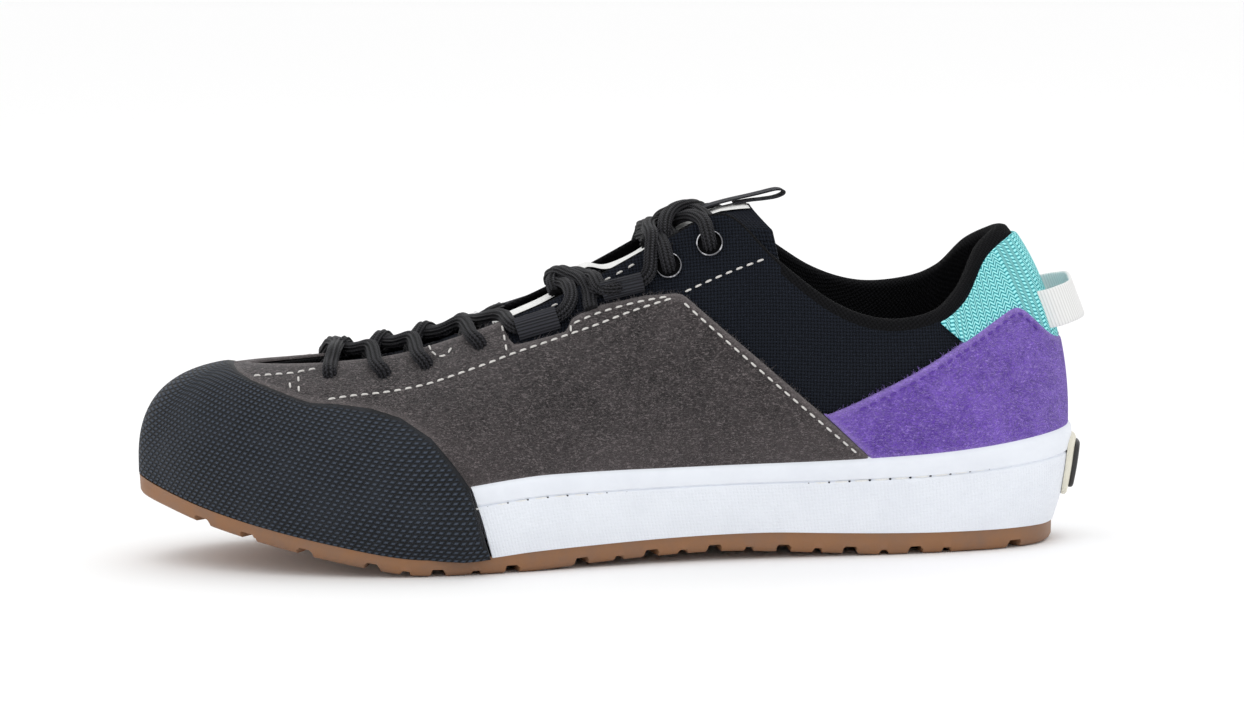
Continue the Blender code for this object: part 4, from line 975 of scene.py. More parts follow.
def makeOutsole():
    cfg = solePiece
    u = np.linspace(0, roundTrip, cfg["columns"], endpoint=False)
    out = outwardAt(u)
    edge = skinAt(u, np.full_like(u, -1.0), shoeForm["cupWall"])
    tread, ground = treadAt(u), groundAt(u)
    along = -edge[:, 0] / mm
    cut = np.zeros_like(u)
    for places, share in ((cfg["notches"], 1.0), (cfg["halfNotches"], 0.6)):
        for x in places:
            wide = cfg["wide"] / mm * share / 2
            cut = np.maximum(cut, share * np.clip((wide - np.abs(along - x)) / 0.45 + 0.5, 0, 1))
    depth = cut * cfg["deep"] * np.clip((tread - ground) / 0.006, 0, 1)
    rings = []
    for inset, share in ((0.0, 1.0), (0.0001, 0.97), (0.0002, 0.6), (0.0003, 0.25),
                         (0.0009, 0.08), (0.0018, 0.0), (0.006, 0.0), (0.0126, 0.0)):
        z = ground + (tread - ground) * share
        if share < 0.5:
            z = np.maximum(z, ground + depth)
        p = edge - out * inset
        p[:, 2] = z
        rings.append(p)
    last = rings[-1].copy()
    last -= out * 0.0006
    last[:, 2] = ground
    rings.append(last)
    spine = spineOf(last)
    rings.append((last + spine) / 2)
    rings.append(spine)
    topIn = edge - out * 0.008
    topIn[:, 2] = tread
    rings = [topIn] + rings
    grid = np.array(rings)
    flow = flowOf(grid, 1)
    rows, cols = grid.shape[:2]
    faces = gridFaces(rows, cols, wrap=True)
    piece = buildMesh("outsoleGum", grid.reshape(-1, 3), faces, [gumFinish],
                      flow.reshape(-1, 2), sharp=35.0)
    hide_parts("outsole")


makeOutsole()
print("sole made")

# Tongue, its white band and its top loop
tonguePiece = {
    "crown": ((222.0, 55.8), (214.0, 58.8), (205.0, 60.6), (190.0, 62.0), (170.0, 65.2),
              (150.0, 71.4), (132.0, 78.6), (120.0, 84.6), (109.0, 89.6), (100.0, 94.2),
              (90.0, 100.0), (81.0, 104.6), (72.0, 107.6), (65.0, 108.9)),
    "thick": 0.0026, "top": 65.0, "lean": 8.0, "bandHalf": 0.0062, "bandThick": 0.0006, "bandTo": 147.0,
    "looseBand": ((118.0, 4.2, 5.0), (102.0, -0.8, 7.0)),
}


def crownAt(along):
    xs, zs = np.array(sorted(tonguePiece["crown"])).T
    fine = np.linspace(xs[0], xs[-1], 400)
    soft = np.interp(fine, xs, zs)
    kernel = np.hanning(25)
    soft = np.convolve(np.pad(soft, 12, mode="edge"), kernel / kernel.sum(), "valid")
    return np.interp(along, fine, soft) * mm


def tongueGrid(columns, across):
    u = np.linspace(8.0, 15.6, columns)
    q = np.linspace(0.80, 0.965, 5)
    sides = []
    for places in (u, roundTrip - u):
        uu, qq = np.broadcast_arrays(places[:, None], q[None, :])
        sides.append(skinAt(uu, qq, -(wallAt(uu, qq) + 0.0008)))
    a, b = sides[0][:, -1], sides[1][:, -1]
    peak = crownAt(-(a[:, 0] + b[:, 0]) / 2 / mm)
    mids = []
    for s in np.linspace(0, 1, across)[1:-1]:
        p = a + (b - a) * s
        base = a[:, 2] + (b[:, 2] - a[:, 2]) * s
        p[:, 2] = base + (peak - base) * (1 - (2 * s - 1) ** 2)
        mids.append(p[:, None])
    grid = np.concatenate([sides[0]] + mids + [sides[1][:, ::-1]], axis=1)
    first = grid[0]
    extra = []
    mid = first.shape[0] // 2
    for share in (1.0, 0.96, 0.85, 0.7, 0.5, 0.25):
        along = 75.0 - (75.0 - tonguePiece["top"]) * share
        lean = np.abs(np.arange(len(first)) - mid) / mid
        moved = first.copy()
        moved[:, 0] += (75.0 - along + tonguePiece["lean"] * lean ** 2 * share) * mm
        moved[:, 2] += (crownAt(along) - first[mid, 2]) * (1 - lean) - lean * 0.0016 * share
        moved[:, 1] *= 1 - 0.1 * share
        extra.append(moved)
    return np.concatenate([np.array(extra), grid])


def gridNormals(grid):
    a = np.gradient(grid, axis=0)
    b = np.gradient(grid, axis=1)
    n = np.cross(a, b)
    n /= np.linalg.norm(n, axis=-1, keepdims=True)
    return np.where(n[..., 2:3] < 0, -n, n)


def slabFrom(name, grid, lift, thick, mats, rim):
    # a closed slab over a grid of points, its border rounded
    n = gridNormals(grid)
    flow = flowOf(grid)
    ends = np.minimum(flow[..., 1], flow[..., 1].max(axis=0) - flow[..., 1])
    sides = np.minimum(flow[..., 0], flow[..., 0].max() - flow[..., 0])
    s = np.clip(np.minimum(ends, sides) / rim, 0, 1)
    crown = np.sqrt(1 - (1 - s) ** 2)
    middle = lift + thick / 2
    top = grid + n * (middle + thick / 2 * crown)[..., None]
    low = grid + n * (middle - thick / 2 * crown)[..., None]
    faces = sheetFaces(*grid.shape[:2])
    turn = np.cross(grid[0, 1] - grid[0, 0], grid[1, 0] - grid[0, 0])
    if np.dot(turn, n[0, 0]) < 0:
        faces = faces[:, ::-1]
    verts = np.concatenate([top.reshape(-1, 3), low.reshape(-1, 3)])
    return buildMesh(name, verts, faces, mats, np.concatenate([flow.reshape(-1, 2)] * 2))


def makeTongue():
    cfg = tonguePiece
    grid = tongueGrid(110, 34)
    piece = slabFrom("tonguePad", grid, -cfg["thick"], cfg["thick"], [canvasFinish], 0.0012)
    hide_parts("tongue")
    mid = grid.shape[1] // 2
    width = (np.arange(13) - 6) / 6.0 * cfg["bandHalf"]
    band = []
    for row in grid[2:]:
        if -row[mid, 0] > cfg["bandTo"] * mm:
            break
        y = row[:, 1]
        order = np.argsort(y)
        loose = sum(rise * math.exp(-((-row[mid, 0] / mm - x) / reach) ** 2)
                    for x, rise, reach in cfg["looseBand"]) * mm
        band.append(np.stack([np.interp(width, y[order], row[order, 0]), width,
                              np.interp(width, y[order], row[order, 2]) + loose], -1))
    piece = slabFrom("tongueBand", np.array(band), gap, cfg["bandThick"], [ribbonWhite], 0.0003)
    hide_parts("tongue_ribbon")


makeTongue()


# A band of cloth along a path, with rounded borders
def bandAlong(name, path, across, width, thick, mats, cells=8):
    path = np.asarray(path, float)
    t = np.gradient(path, axis=0)
    t /= np.linalg.norm(t, axis=-1, keepdims=True)
    w = np.broadcast_to(np.asarray(across, float), path.shape)
    w = w / np.linalg.norm(w, axis=-1, keepdims=True)
    n = np.cross(t, w)
    n /= np.linalg.norm(n, axis=-1, keepdims=True)
    shares = [-1 + 2 * k / cells for k in range(cells + 1)]
    profile = [(x * (width / 2 - thick * 0.4), thick / 2) for x in shares]
    profile += [(width / 2 - thick * 0.1, thick * 0.3), (width / 2, 0.0),
                (width / 2 - thick * 0.1, -thick * 0.3)]
    profile += [(-x * (width / 2 - thick * 0.4), -thick / 2) for x in shares]
    profile += [(-width / 2 + thick * 0.1, -thick * 0.3), (-width / 2, 0.0),
                (-width / 2 + thick * 0.1, thick * 0.3)]
    grid = np.array([path + w * a + n * b for a, b in profile])
    rows, cols = grid.shape[:2]
    closed = np.concatenate([grid, grid[:1]])
    flow = flowOf(closed)[:-1]
    faces = gridFaces(rows + 1, cols) % (rows * cols)
    ends = [tuple(r * cols for r in range(rows)),
            tuple(r * cols + cols - 1 for r in range(rows))[::-1]]
    return buildMesh(name, grid.reshape(-1, 3), [tuple(f) for f in faces[:, ::-1]] + [
        e[::-1] for e in ends], mats, flow.reshape(-1, 2))


def smoothPath(points, steps):
    points = np.asarray(points, float)
    out = []
    last = len(points) - 1
    for i in range(last):
        p0, p1 = points[max(i - 1, 0)], points[i]
        p2, p3 = points[i + 1], points[min(i + 2, last)]
        for k in range(steps):
            out.append(curveBetween(p0, p1, p2, p3, k / steps))
    out.append(points[-1])
    return np.array(out)


loopPiece = {"path": ((22.6, 10.8, 73.0), (26.4, 12.4, 73.6), (30.4, 12.8, 74.4),
                      (34.2, 11.2, 75.4), (37.2, 8.0, 76.1), (38.9, 3.2, 76.6)),
             "lean": (-4.4, 0.0, 11.9), "width": 0.0126, "thick": 0.0012}
tabPiece = {"path": ((84.0, 105.4), (79.5, 107.7), (72.6, 109.6), (64.7, 111.2), (61.0, 112.0),
                     (56.8, 112.9), (54.6, 112.7), (54.0, 112.0), (54.8, 111.2), (57.2, 110.4),
                     (61.1, 109.9), (64.7, 109.6), (70.0, 108.9)), "width": 0.0086, "thick": 0.0005}


def makeLoops():
    cfg = loopPiece
    half = [(x * mm, -y * mm, z * mm) for x, y, z in cfg["path"]]
    points = half + [(x, -y, z + 0.0016) for x, y, z in reversed(half)]
    piece = bandAlong("heelLoop", smoothPath(points, 8), cfg["lean"], cfg["width"], cfg["thick"],
                      [webWhite], 10)
    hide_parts("heel_pull_loop")
    cfg = tabPiece
    points = [(-x * mm, 0.0, z * mm) for x, z in cfg["path"]]
    piece = bandAlong("tongueLoop", smoothPath(points, 6), (0, 1, 0), cfg["width"], cfg["thick"],
                      [webBlack], 8)
    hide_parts("tongue_pull_loop")


makeLoops()


# Badge at the back of the sole wall: a bare cream base with a bare dark plate
badgePiece = {"reach": 1.0, "low": 14.6, "high": 33.4, "plateReach": 0.8, "plateLow": 17.0,
              "plateHigh": 31.4}


def makeBadge():
    cfg = badgePiece
    outer = gap + shoeForm["cupWall"] + 0.0002
    for name, node, mark, reach, low, high, lift, thick, mat in (
            ("badgeBase", "heel_badge", "cream_badge", cfg["reach"], cfg["low"], cfg["high"],
             outer, 0.0016, creamFinish),
            ("badgePlate", "heel_badge_plate", "dark_plate", cfg["plateReach"], cfg["plateLow"],
             cfg["plateHigh"], outer + 0.0018, 0.0013, plateFinish)):
        u = np.linspace(-reach, reach, 41)
        s = np.clip(np.abs(u / reach), 0, 1)
        inset = (1 - np.sqrt(np.clip(1 - s ** 6, 0, 1))) * (high - low) * 0.32
        piece = layPatch(name, u, qAtHeight(u, (low + inset) * mm),
                         qAtHeight(u, (high - inset) * mm), lift, thick, [mat], rows=14,
                         soft=False, roundEdge=0.0011)
        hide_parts(node)


makeBadge()
print("heel pieces made")


# Insole
insolePiece = {"columns": 144, "inset": 0.0032}


def makeInsole():
    cfg = insolePiece
    u = np.linspace(0, roundTrip, cfg["columns"], endpoint=False)
    floor = floorAt(u)
    foot = bareAt(u, 0 * u) - outwardAt(u) * cfg["inset"]
    out = outwardAt(u)
    rings = []
    for inset, up in ((0.0, 0.0003), (0.0, 0.0030), (0.0006, 0.0040), (0.0016, 0.0043)):
        p = foot - out * inset
        p[:, 2] = floor + up
        rings.append(p)
    line = rings[-1]
    spine = spineOf(line)
    rings += [line + (spine - line) * s for s in (0.25, 0.5, 0.75, 1.0)]
    grid = np.array([spineOf(rings[0])] + rings)
    flow = flowOf(grid, 1)
    faces = gridFaces(len(grid), cfg["columns"], wrap=True)[:, ::-1]
    piece = buildMesh("insoleBed", grid.reshape(-1, 3), faces, [insoleFinish],
                      flow.reshape(-1, 2))
    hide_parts("insole")


makeInsole()

# The lace: a flat oval braid with lengthwise ridges, laid in strands whose points are mm
# along towards the toe, mm across (outer side negative) and mm up
lacePiece = {
    "halfWide": 0.0023, "halfThick": 0.0018, "ridges": 9, "ridgeDepth": 0.00030, "sides": 54,
    "step": 0.0007, "relax": 0.014,
    "holes": ((199.0, 60.6), (182.4, 60.8), (169.3, 63.4), (152.6, 69.0)),
    "eyelets": ((93.0, 8.9), (80.0, 8.7)),
    "bar": ((198.3, 17.4, 64.4), (197.2, 12.4, 66.8), (196.2, 6.0, 67.4)),
    "barMiddle": (195.6, 0.0, 67.6),
}
# Offsets in a low strand: mm before the hole, mm across, mm over the tongue's crown on the
# outer and the inner side
lowStrand = ((0.0, 0.0, 4.2, 6.6), (-1.4, -4.0, 4.4, 5.2), (-4.6, -9.4, 4.8, 0.8),
             (-8.6, -13.8, 2.8, -1.8))
# The strands over and between the webbing, as seen from the outer side
highStrands = {
    "intoFirstWeb": (4, ((156.6, 11.5, 69.4), (155.4, 6.5, 72.6), (153.0, 1.0, 74.0),
                         (150.4, -5.0, 74.8), (147.2, -10.0, 76.2), (144.3, -15.0, 76.6),
                         (143.0, 74.6), (140.4, 73.2), (135.0, 74.8))),
    "outOfFirstWeb": (5, ((134.0, 75.2), (128.4, 76.6), (125.2, 78.8), (123.4, -21.2, 82.6),
                          (124.0, -14.8, 85.8), (125.6, -6.6, 85.6), (126.2, 0.0, 86.2),
                          (125.0, 5.6, 86.2), (122.0, 11.4, 85.6), (118.2, 16.4, 85.6),
                          (115.6, 20.4, 84.8), (113.0, 84.5), (108.0, 85.7))),
    "lockLoop": (5, ((127.2, 9.0, 83.4), (128.0, 4.6, 86.8), (125.6, -1.6, 89.0),
                     (122.4, -8.4, 88.2), (119.6, -15.2, 87.2), (117.8, -20.8, 83.4),
                     (118.0, 80.0), (117.4, 78.4))),
    "intoSecondWeb": (5, ((125.6, 9.6, 85.0), (124.0, 3.0, 87.4), (120.8, -4.0, 88.6),
                          (118.0, -10.6, 88.0), (115.8, -18.2, 88.2), (114.2, 84.6),
                          (108.6, 85.6))),
    "outOfSecondWeb": (6, ((106.0, 86.2), (101.4, 87.2), (99.0, 90.0), (98.4, 94.6),
                           (97.5, -17.2, 100.8), (98.0, -10.6, 102.4), (97.0, -4.0, 103.6),
                           (93.8, 2.4, 103.2), (91.4, 8.4, 102.2), (90.6, 14.4, 101.0),
                           (91.2, 19.6, 97.4))),
    "arc": (7, ((94.4, -13.4, 95.8), (93.6, -14.4, 99.8), (92.8, -10.6, 104.4),
                (90.0, -5.0, 107.4), (85.0, 0.0, 108.6), (81.0, 5.6, 107.8),
                (79.0, 12.6, 105.4), (78.8, 19.4, 101.4))),
}
# The last drop of each strand into a top eyelet
eyeletDrops = {
    "intoFirstEyelet": (6, 0, ((98.8, 9.0, 98.2), (97.2, 2.0, 99.8), (96.0, -5.0, 100.2),
                               (95.4, -12.6, 100.4), (94.8, -18.6, 98.8), (94.2, 97.2))),
    "intoSecondEyelet": (7, 1, ((92.2, 6.0, 101.0), (90.2, 0.0, 102.8), (87.6, -7.0, 105.2),
                                (84.4, -13.4, 106.4), (81.8, -19.4, 105.2), (81.0, 103.2))),
}
webPiece = {
    "tunnels": (((141.0, 73.2), (128.2, 76.9), 3.9), ((114.0, 84.2), (101.4, 87.2), 3.1)),
    "high": 0.0040, "wall": 0.0008, "ribs": 6, "ribDepth": 0.00028,
}


def eyestayAt(along, setback, side, lift):
    u = float(uAtAlong(along, side > 0, 0.9))
    edge = bareAt(u, 1.0)
    low, high = 0.5, 1.0
    for _ in range(26):
        mid = (low + high) / 2
        if np.linalg.norm(bareAt(u, mid) - edge) > setback * mm:
            low = mid
        else:
            high = mid
    ua, qa = np.array(u), np.array(low)
    return skinAt(ua, qa, lift), normalAt(ua, qa)


def holeAt(along, height, side, lift):
    u, q = placeAt(along, height, side > 0)
    return skinAt(u, q, lift), normalAt(u, q)


def layLace(name, node, path):
    cfg = lacePiece
    path = np.asarray(path, float)
    s = np.concatenate([[0], np.cumsum(np.linalg.norm(np.diff(path, axis=0), axis=1))])
    fine = np.linspace(0, s[-1], max(int(s[-1] / cfg["step"]), 8))
    p = np.stack([np.interp(fine, s, path[:, k]) for k in range(3)], -1)
    kernel = np.hanning(9)[1:-1]
    kernel /= kernel.sum()
    for _ in range(2):
        padded = np.concatenate([np.repeat(p[:1], 3, 0), p, np.repeat(p[-1:], 3, 0)])
        p = np.stack([np.convolve(padded[:, k], kernel, "valid") for k in range(3)], -1)
    t = np.gradient(p, axis=0)
    t /= np.linalg.norm(t, axis=-1, keepdims=True)
    hint = np.stack([0 * fine, p[:, 1] / cfg["relax"], 1 + 0 * fine], -1)
    hint /= np.linalg.norm(hint, axis=-1, keepdims=True)
    # the flat side turns slowly to face away from the foot
    up = hint[len(p) // 2]
    faces = np.zeros_like(p)
    for order in (range(len(p) // 2, len(p)), range(len(p) // 2, -1, -1)):
        n = up
        for k in order:
            n = n - t[k] * np.dot(n, t[k])
            n /= np.linalg.norm(n)
            pull = hint[k] - t[k] * np.dot(hint[k], t[k])
            n = n + pull * 0.2 * min(max((np.linalg.norm(pull) - 0.3) * 2, 0), 1)
            n /= np.linalg.norm(n)
            faces[k] = n
    side = np.cross(t, faces)
    w = np.linspace(0, 2 * np.pi, cfg["sides"], endpoint=False)
    ridge = cfg["ridgeDepth"] * (np.cos(cfg["ridges"] * w) - 1)
    x = (cfg["halfWide"] + ridge) * np.sign(np.cos(w)) * np.abs(np.cos(w)) ** 0.85
    y = (cfg["halfThick"] + ridge) * np.sign(np.sin(w)) * np.abs(np.sin(w)) ** 0.85
    grid = p[:, None] + side[:, None] * x[None, :, None] + faces[:, None] * y[None, :, None]
    around = np.broadcast_to(w * cfg["halfWide"], grid.shape[:2])
    flow = np.stack([around, np.broadcast_to(fine[:, None], grid.shape[:2])], -1)
    quads = gridFaces(len(p), cfg["sides"], wrap=True)
    n = grid.shape[0] * grid.shape[1]
    caps = [tuple(range(cfg["sides"]))[::-1], tuple(range(n - cfg["sides"], n))]
    # painted shade: the lengthwise grooves are marked in the edge attribute, which the lace finish
    # paints darker
    groove = np.broadcast_to(np.clip((-np.cos(cfg["ridges"] * w) - 0.05) / 0.75, 0, 1),
                             grid.shape[:2])
    piece = buildMesh(name, grid.reshape(-1, 3), [tuple(f) for f in quads] + caps, [laceFinish],
                      flow.reshape(-1, 2), sharp=80.0, edge=groove.ravel())
    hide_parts(node)


def shoePoint(along, across, up):
    return np.array((-along, across, up)) * mm


def strandPoint(point, side, nudge):
    # two numbers are a place on the skin that the strand lies on, three are free
    if len(point) == 2:
        return holeAt(point[0], point[1], side, 0.0024)[0]
    return shoePoint(point[0], -side * point[1], point[2] + nudge)


def intoHole(last, n, before):
    reach = last - before
    reach /= np.linalg.norm(reach)
    return [last + n * 0.0006, last - n * 0.0014 + reach * 0.0008, last - n * 0.0046
            + reach * 0.0012]


def lowPath(row, side):
    # from under the far edge, over the crown and down into the hole
    start, end = lacePiece["holes"][row][0], lacePiece["holes"][row + 1][0]
    centre = end + 12.0 if row == 0 else start - 0.6
    points = [shoePoint(start + 4.6, -side * 13.6, crownAt(start + 4.6) / mm - 2.4),
              shoePoint(start + 4.2, -side * 10.2, crownAt(start + 4.2) / mm + 0.6),
              shoePoint(start + 2.0, -side * 4.4, crownAt(start + 2.0) / mm
                        + (2.0 if side < 0 else 4.6))]
    if row == 0:
        points = [p + np.array((0.004, 0.0, -0.0016)) for p in points]
    for before, across, *rises in lowStrand:
        along = centre + before * (centre - end) / 12.0
        level = crownAt(along) / mm + rises[0 if side < 0 else 1]
        if across < -10:
            level = max(level, holeEdge(along, side > 0) + (4.2 if side < 0 else 1.4))
        points.append(shoePoint(along, -side * across, level))
    last, n = holeAt(*lacePiece["holes"][row + 1], side, 0.0030)
    return points + [last + np.array((-0.0022, -side * 0.0014, 0.0018))] + intoHole(
        last, n, points[-1])


def holeEdge(along, inner):
    u = float(uAtAlong(along, inner, 1.0))
    return float(bareAt(u, 1.0)[2]) / mm


def makeLaces():
    along, height = lacePiece["holes"][0]
    ends = []
    for side in (-1, 1):
        last, n = holeAt(along, height, side, 0.0030)
        ends.append(intoHole(last, n, last + n * 0.004 + np.array((0, -side * 0.002, 0)))[::-1]
                    + [shoePoint(x, side * y, z) for x, y, z in lacePiece["bar"]])
    path = ends[0] + [shoePoint(*lacePiece["barMiddle"])] + ends[1][::-1]
    layLace("laceBar", "lace_bar", smoothPath(path, 6))
    for row in range(3):
        for side, word in ((-1, "Outer"), (1, "Inner")):
            layLace("lace%s%d" % (word, row + 1), "lace_cross_%d" % (row + 1),
                    smoothPath(lowPath(row, side), 6))
    for side, word in ((-1, "Outer"), (1, "Inner")):
        nudge = 0.0 if side < 0 else -1.2
        for key, (row, points) in highStrands.items():
            path = np.array([strandPoint(p, side, nudge) for p in points])
            layLace(key + word, "lace_cross_%d" % row, smoothPath(path, 6))
        for key, (row, number, points) in eyeletDrops.items():
            path = [strandPoint(p, side, nudge) for p in points]
            last, n = eyestayAt(*lacePiece["eyelets"][number], side, 0.0024)
            layLace(key + word, "lace_cross_%d" % row,
                    smoothPath(path + intoHole(last, n, path[-1]), 6))


makeLaces()


def makeWebbing():
    cfg = webPiece
    for number, (front, rear, half) in enumerate(cfg["tunnels"], 1):
        for side, word in ((-1, "outer"), (1, "inner")):
            x = np.concatenate([[-1.0], np.linspace(-0.98, 0.98, 61), [1.0]])
            rise = np.clip(1 - np.abs(x) ** 3.2, 0, 1) ** 0.6
            ribs = cfg["ribDepth"] * (np.abs(np.sin(x * math.pi * cfg["ribs"] / 2)) ** 0.7 - 1)
            outer = np.stack([x * half * mm, 0.0003 + rise * cfg["high"] + ribs * rise], -1)
            inner = np.stack([x * half * mm * 0.86, np.maximum(rise * cfg["high"]
                                                               - cfg["wall"], 0.0)], -1)
            ring = np.concatenate([outer, inner[::-1]])
            s = np.linspace(0, 1, 17)
            u, q = placeAt(front[0] + (rear[0] - front[0]) * s,
                           front[1] + (rear[1] - front[1]) * s, side > 0)
            base, n = skinAt(u, q, 0.0004), normalAt(u, q)
            t = np.gradient(base, axis=0)
            t /= np.linalg.norm(t, axis=-1, keepdims=True)
            across = np.cross(n, t)
            grid = (base[:, None] + across[:, None] * ring[None, :, 0:1]
                    + n[:, None] * ring[None, :, 1:2])
            rows, cols = grid.shape[:2]
            around = np.concatenate([[0], np.cumsum(np.linalg.norm(np.diff(ring, axis=0),
                                                                   axis=1))])
            along = np.linspace(0, np.linalg.norm(base[-1] - base[0]), rows)
            flow = np.stack([np.broadcast_to(along[:, None], (rows, cols)),
                             np.broadcast_to(around, (rows, cols))], -1)
            faces = [tuple(f) for f in gridFaces(rows, cols, wrap=True)]
            count = cols // 2
            for k in (0, rows - 1):
                for i in range(count - 1):
                    quad = tuple(k * cols + j for j in (i, i + 1, cols - 2 - i, cols - 1 - i))
                    faces.append(quad if k else quad[::-1])
            piece = buildMesh("webTunnel_%s_%d" % (word, number), grid.reshape(-1, 3), faces,
                              [webBlack], flow.reshape(-1, 2), sharp=60.0)
            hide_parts("webbing_%s_%d" % (word, number))


makeWebbing()

eyeletPiece = {"radius": 0.0043, "hole": 0.0035, "thick": 0.0009, "sides": 40}


def turnedRing(name, centre, n, profile, mats, sides):
    helper = np.array((1.0, 0.0, 0.0))
    a = helper - n * np.dot(helper, n)
    a /= np.linalg.norm(a)
    b = np.cross(n, a)
    w = np.linspace(0, 2 * np.pi, sides, endpoint=False)
    grid = np.array([centre + (a * r)[None] * np.cos(w)[:, None] + (b * r)[None]
                     * np.sin(w)[:, None] + n * h for r, h in profile])
    closed = np.concatenate([grid, grid[:1]])
    flow = flowOf(closed)[:-1]
    faces = gridFaces(len(profile) + 1, sides, wrap=True) % (len(profile) * sides)
    return buildMesh(name, grid.reshape(-1, 3), faces, mats, flow.reshape(-1, 2))


def makeEyelets():
    cfg = eyeletPiece
    for number, (along, setback) in enumerate(lacePiece["eyelets"], 1):
        for side, word in ((-1, "outer"), (1, "inner")):
            centre, n = eyestayAt(along, setback, side, 0.0003)
            mid, r = (cfg["radius"] + cfg["hole"]) / 2, (cfg["radius"] - cfg["hole"]) / 2
            profile = [(mid + r * math.cos(t), cfg["thick"] * (0.3 + 0.7 * math.sin(t)))
                       for t in np.linspace(0, math.pi, 12)]
            profile += [(cfg["hole"], -0.0012), (cfg["hole"] + 0.0003, -0.0012),
                        (cfg["radius"] - 0.0001, 0.0001)]
            piece = turnedRing("eyelet%s%d" % (word.title(), number), centre, n, profile,
                               [eyeletFinish], cfg["sides"])
            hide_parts("eyelet_%s_%d" % (word, number))
            wide = cfg["hole"] + 0.0002
            shade = turnedRing("eyeletShade%s%d" % (word.title(), number), centre, n,
                               [(0.0001, 0.0001), (wide, 0.0001), (wide, -0.0006),
                                (0.0001, -0.0006)], [shadeFinish], cfg["sides"])


makeEyelets()
print("laces and eyelets made")


# Rows of thread: each stitch is a short bent tube that dips into the cloth at its ends
def stitchRow(name, points, mat, pitch=0.0034, length=0.0024, radius=0.00034, slot="grey_suede"):
    points = np.asarray(points, float)
    p, n = points[:, :3], points[:, 3:]
    s = np.concatenate([[0], np.cumsum(np.linalg.norm(np.diff(p, axis=0), axis=1))])
    count = max(int(s[-1] / pitch), 1)
    verts, faces, uvs = [], [], []
    sides, rings = 7, 7
    w = np.linspace(0, 2 * np.pi, sides, endpoint=False)
    for k in range(count):
        middle = (k + 0.5) * s[-1] / count
        offsets = np.linspace(-0.5, 0.5, rings) * length
        c = np.stack([np.interp(middle + offsets, s, p[:, j]) for j in range(3)], -1)
        m = np.stack([np.interp(middle + offsets, s, n[:, j]) for j in range(3)], -1)
        m /= np.linalg.norm(m, axis=-1, keepdims=True)
        t = c[-1] - c[0]
        t /= np.linalg.norm(t)
        side = np.cross(t, m)
        x = np.linspace(-1, 1, rings)
        fat = radius * np.sqrt(np.clip(1.02 - x ** 4, 0.02, 1))
        rise = radius * (0.75 - 1.15 * x ** 4)
        start = len(verts)
        for j in range(rings):
            for a in w:
                verts.append(c[j] + m[j] * (rise[j] + fat[j] * math.sin(a))
                             + side[j] * fat[j] * math.cos(a))
                uvs.append((a * radius, offsets[j]))
        quads = gridFaces(rings, sides, start, wrap=True)
        faces += [tuple(f) for f in quads]
        faces.append(tuple(range(start, start + sides))[::-1])
        faces.append(tuple(range(start + (rings - 1) * sides, start + rings * sides)))
    piece = buildMesh(name, np.array(verts), faces, [mat], np.array(uvs))
    return piece


def seamPoints(line, inner, lift):
    # line: (along, height) in the side view; the points follow the skin between them
    fine = smoothPath(np.array([(a, h, 0.0) for a, h in line]), 8)
    u, q = placeAt(fine[:, 0], fine[:, 1], inner)
    return np.concatenate([skinAt(u, q, lift, True), normalAt(u, q)], -1)


onPanel = panelPiece["gap"] + panelPiece["thick"]
onCounter = counterPiece["gap"] + counterPiece["thick"]
seamLines = {
    "rearEdge": (((89.4, 80.8), (84.3, 76.0), (77.4, 69.6), (66.3, 59.5), (51.0, 45.8),
                  (36.2, 32.6)), onPanel, threadFinish),
    "longSeam": (((200.5, 53.6), (193.0, 54.6), (185.5, 55.2), (178.8, 56.0), (171.5, 57.4),
                  (165.1, 59.0), (151.4, 63.2), (143.0, 66.1), (132.9, 69.2), (124.8, 71.7),
                  (116.2, 74.4), (106.6, 77.8), (98.4, 80.3), (92.4, 82.0)), onPanel,
                 threadFinish),
    "upperRow": (((123.9, 74.6), (115.9, 77.7), (106.2, 80.3), (99.6, 81.6), (93.8, 82.5)),
                 onPanel, threadFinish),
    "steps": (((124.3, 75.0), (124.4, 71.8)), onPanel, threadFinish),
    "eyestayFront": (((145.3, 74.6), (144.8, 70.6), (144.4, 66.6)), onPanel, threadFinish),
    "gapStitches": (((168.2, 68.6), (167.0, 66.4), (164.8, 65.4), (162.6, 66.2),
                     (160.9, 68.2)), onPanel, threadFinish),
    "canvasLine": (((89.1, 83.9), (79.8, 87.8), (71.0, 91.2), (63.4, 93.9)), 0.0,
                   threadFinish),
    "overFirstWeb": (((139.4, 77.2), (133.0, 79.4), (127.1, 81.8)), 0.0, threadFinish),
    "overSecondWeb": (((114.3, 87.6), (108.6, 90.4), (103.0, 93.4)), 0.0, threadFinish),
    "vampTop": (((223.1, 59.9), (216.0, 60.4), (210.2, 60.8), (206.7, 61.4), (202.7, 62.0)),
                onPanel, threadFinish),
    "vampA": (((211.6, 59.4), (211.2, 55.6)), onPanel, threadFinish),
    "vampB": (((208.7, 60.4), (208.8, 55.2)), onPanel, threadFinish),
    "heelTop": (((36.2, 46.2), (18.6, 54.4), (0.7, 64.0), (-10.1, 70.0), (-16.4, 73.4),
                 (-19.4, 72.2), (-24.0, 67.6)), onCounter, purpleThread),
}


def makeSeams():
    for inner in (False, True):
        word = "Inner" if inner else "Outer"
        for key, (line, lift, mat) in seamLines.items():
            stitchRow("seam%s%s" % (key[0].upper() + key[1:], word),
                      seamPoints(line, inner, lift), mat)


makeSeams()
print("seams made")
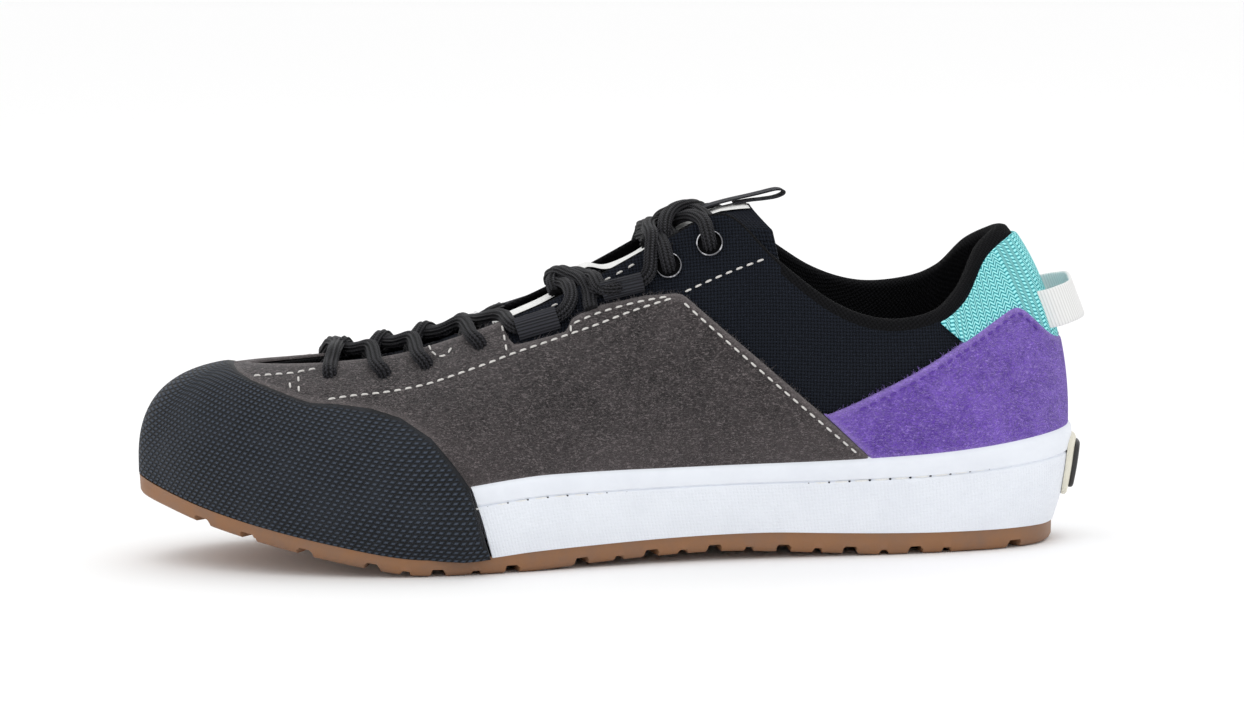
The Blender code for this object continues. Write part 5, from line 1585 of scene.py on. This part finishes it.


# White sole wall: the thread in its groove, and short dark tubes in the needle holes as painted shade
def makeCupStitches():
    cfg = cupPiece
    holes = {"pitch": cfg["stitchPitch"], "length": 0.0009, "radius": 0.00034}
    ends = cupFront(False)[1], cupFront(True)[1] - roundTrip
    u = np.linspace(ends[1], ends[0], 260)
    q = qAtHeight(u, rowsAt(u)[..., 12] - cfg["grooveDown"] * 0.96)
    lift = gap + shoeForm["cupWall"] - cfg["grooveDepth"]
    p = skinAt(u, q, lift)
    n = normalAt(u, q)
    stitchRow("soleWallStitches", np.concatenate([p, n], -1), ribbonWhite,
              cfg["stitchPitch"], cfg["stitchPitch"] * 0.84, 0.00034, "white_rubber")
    shift = int(len(u) * cfg["stitchPitch"] / 2 / np.linalg.norm(np.diff(p, axis=0), axis=1).sum())
    # painted shade: short dark tubes set in the needle holes between the white stitches
    stitchRow("soleWallHoleShade", np.concatenate([p, n], -1)[shift:len(u) - shift], needleHoleShade,
              slot="white_rubber", **holes)


makeCupStitches()


# Floor and soft studio light
studio = {"floor": rgb(253, 253, 253), "world": 1.0,
          "lights": (("keySoft", (-0.5, -0.9, 1.4), 1.2, 2.2),
                     ("topSoft", (-0.1, 0.3, 1.5), 1.4, 3.4))}


def makeStudio():
    mat = bpy.data.materials.new("paleFloor")
    mat.use_nodes = True
    shader = mat.node_tree.nodes["Principled BSDF"]
    shader.inputs["Base Color"].default_value = studio["floor"]
    shader.inputs["Roughness"].default_value = 0.9
    mesh = bpy.data.meshes.new("studioFloor")
    mesh.from_pydata([(-6, -6, 0), (6, -6, 0), (6, 6, 0), (-6, 6, 0)], [], [(0, 1, 2, 3)])
    mesh.materials.append(mat)
    floor = bpy.data.objects.new("studioFloor", mesh)
    floor.location.z = -0.0002
    bpy.context.scene.collection.objects.link(floor)
    world = bpy.data.worlds.new("studioWorld")
    bpy.context.scene.world = world
    world.use_nodes = True
    back = world.node_tree.nodes["Background"]
    back.inputs[0].default_value = (1.0, 1.0, 1.0, 1.0)
    back.inputs[1].default_value = studio["world"]
    for name, spot, size, power in studio["lights"]:
        data = bpy.data.lights.new(name, "AREA")
        data.size, data.energy = size, power
        lamp = bpy.data.objects.new(name, data)
        lamp.location = spot
        aim = Vector((-0.1, 0, 0.04)) - Vector(spot)
        lamp.rotation_mode = "QUATERNION"
        lamp.rotation_quaternion = aim.to_track_quat("-Z", "Y")
        bpy.context.scene.collection.objects.link(lamp)
    bpy.context.scene.view_settings.view_transform = "Standard"


makeStudio()
print("studio made")
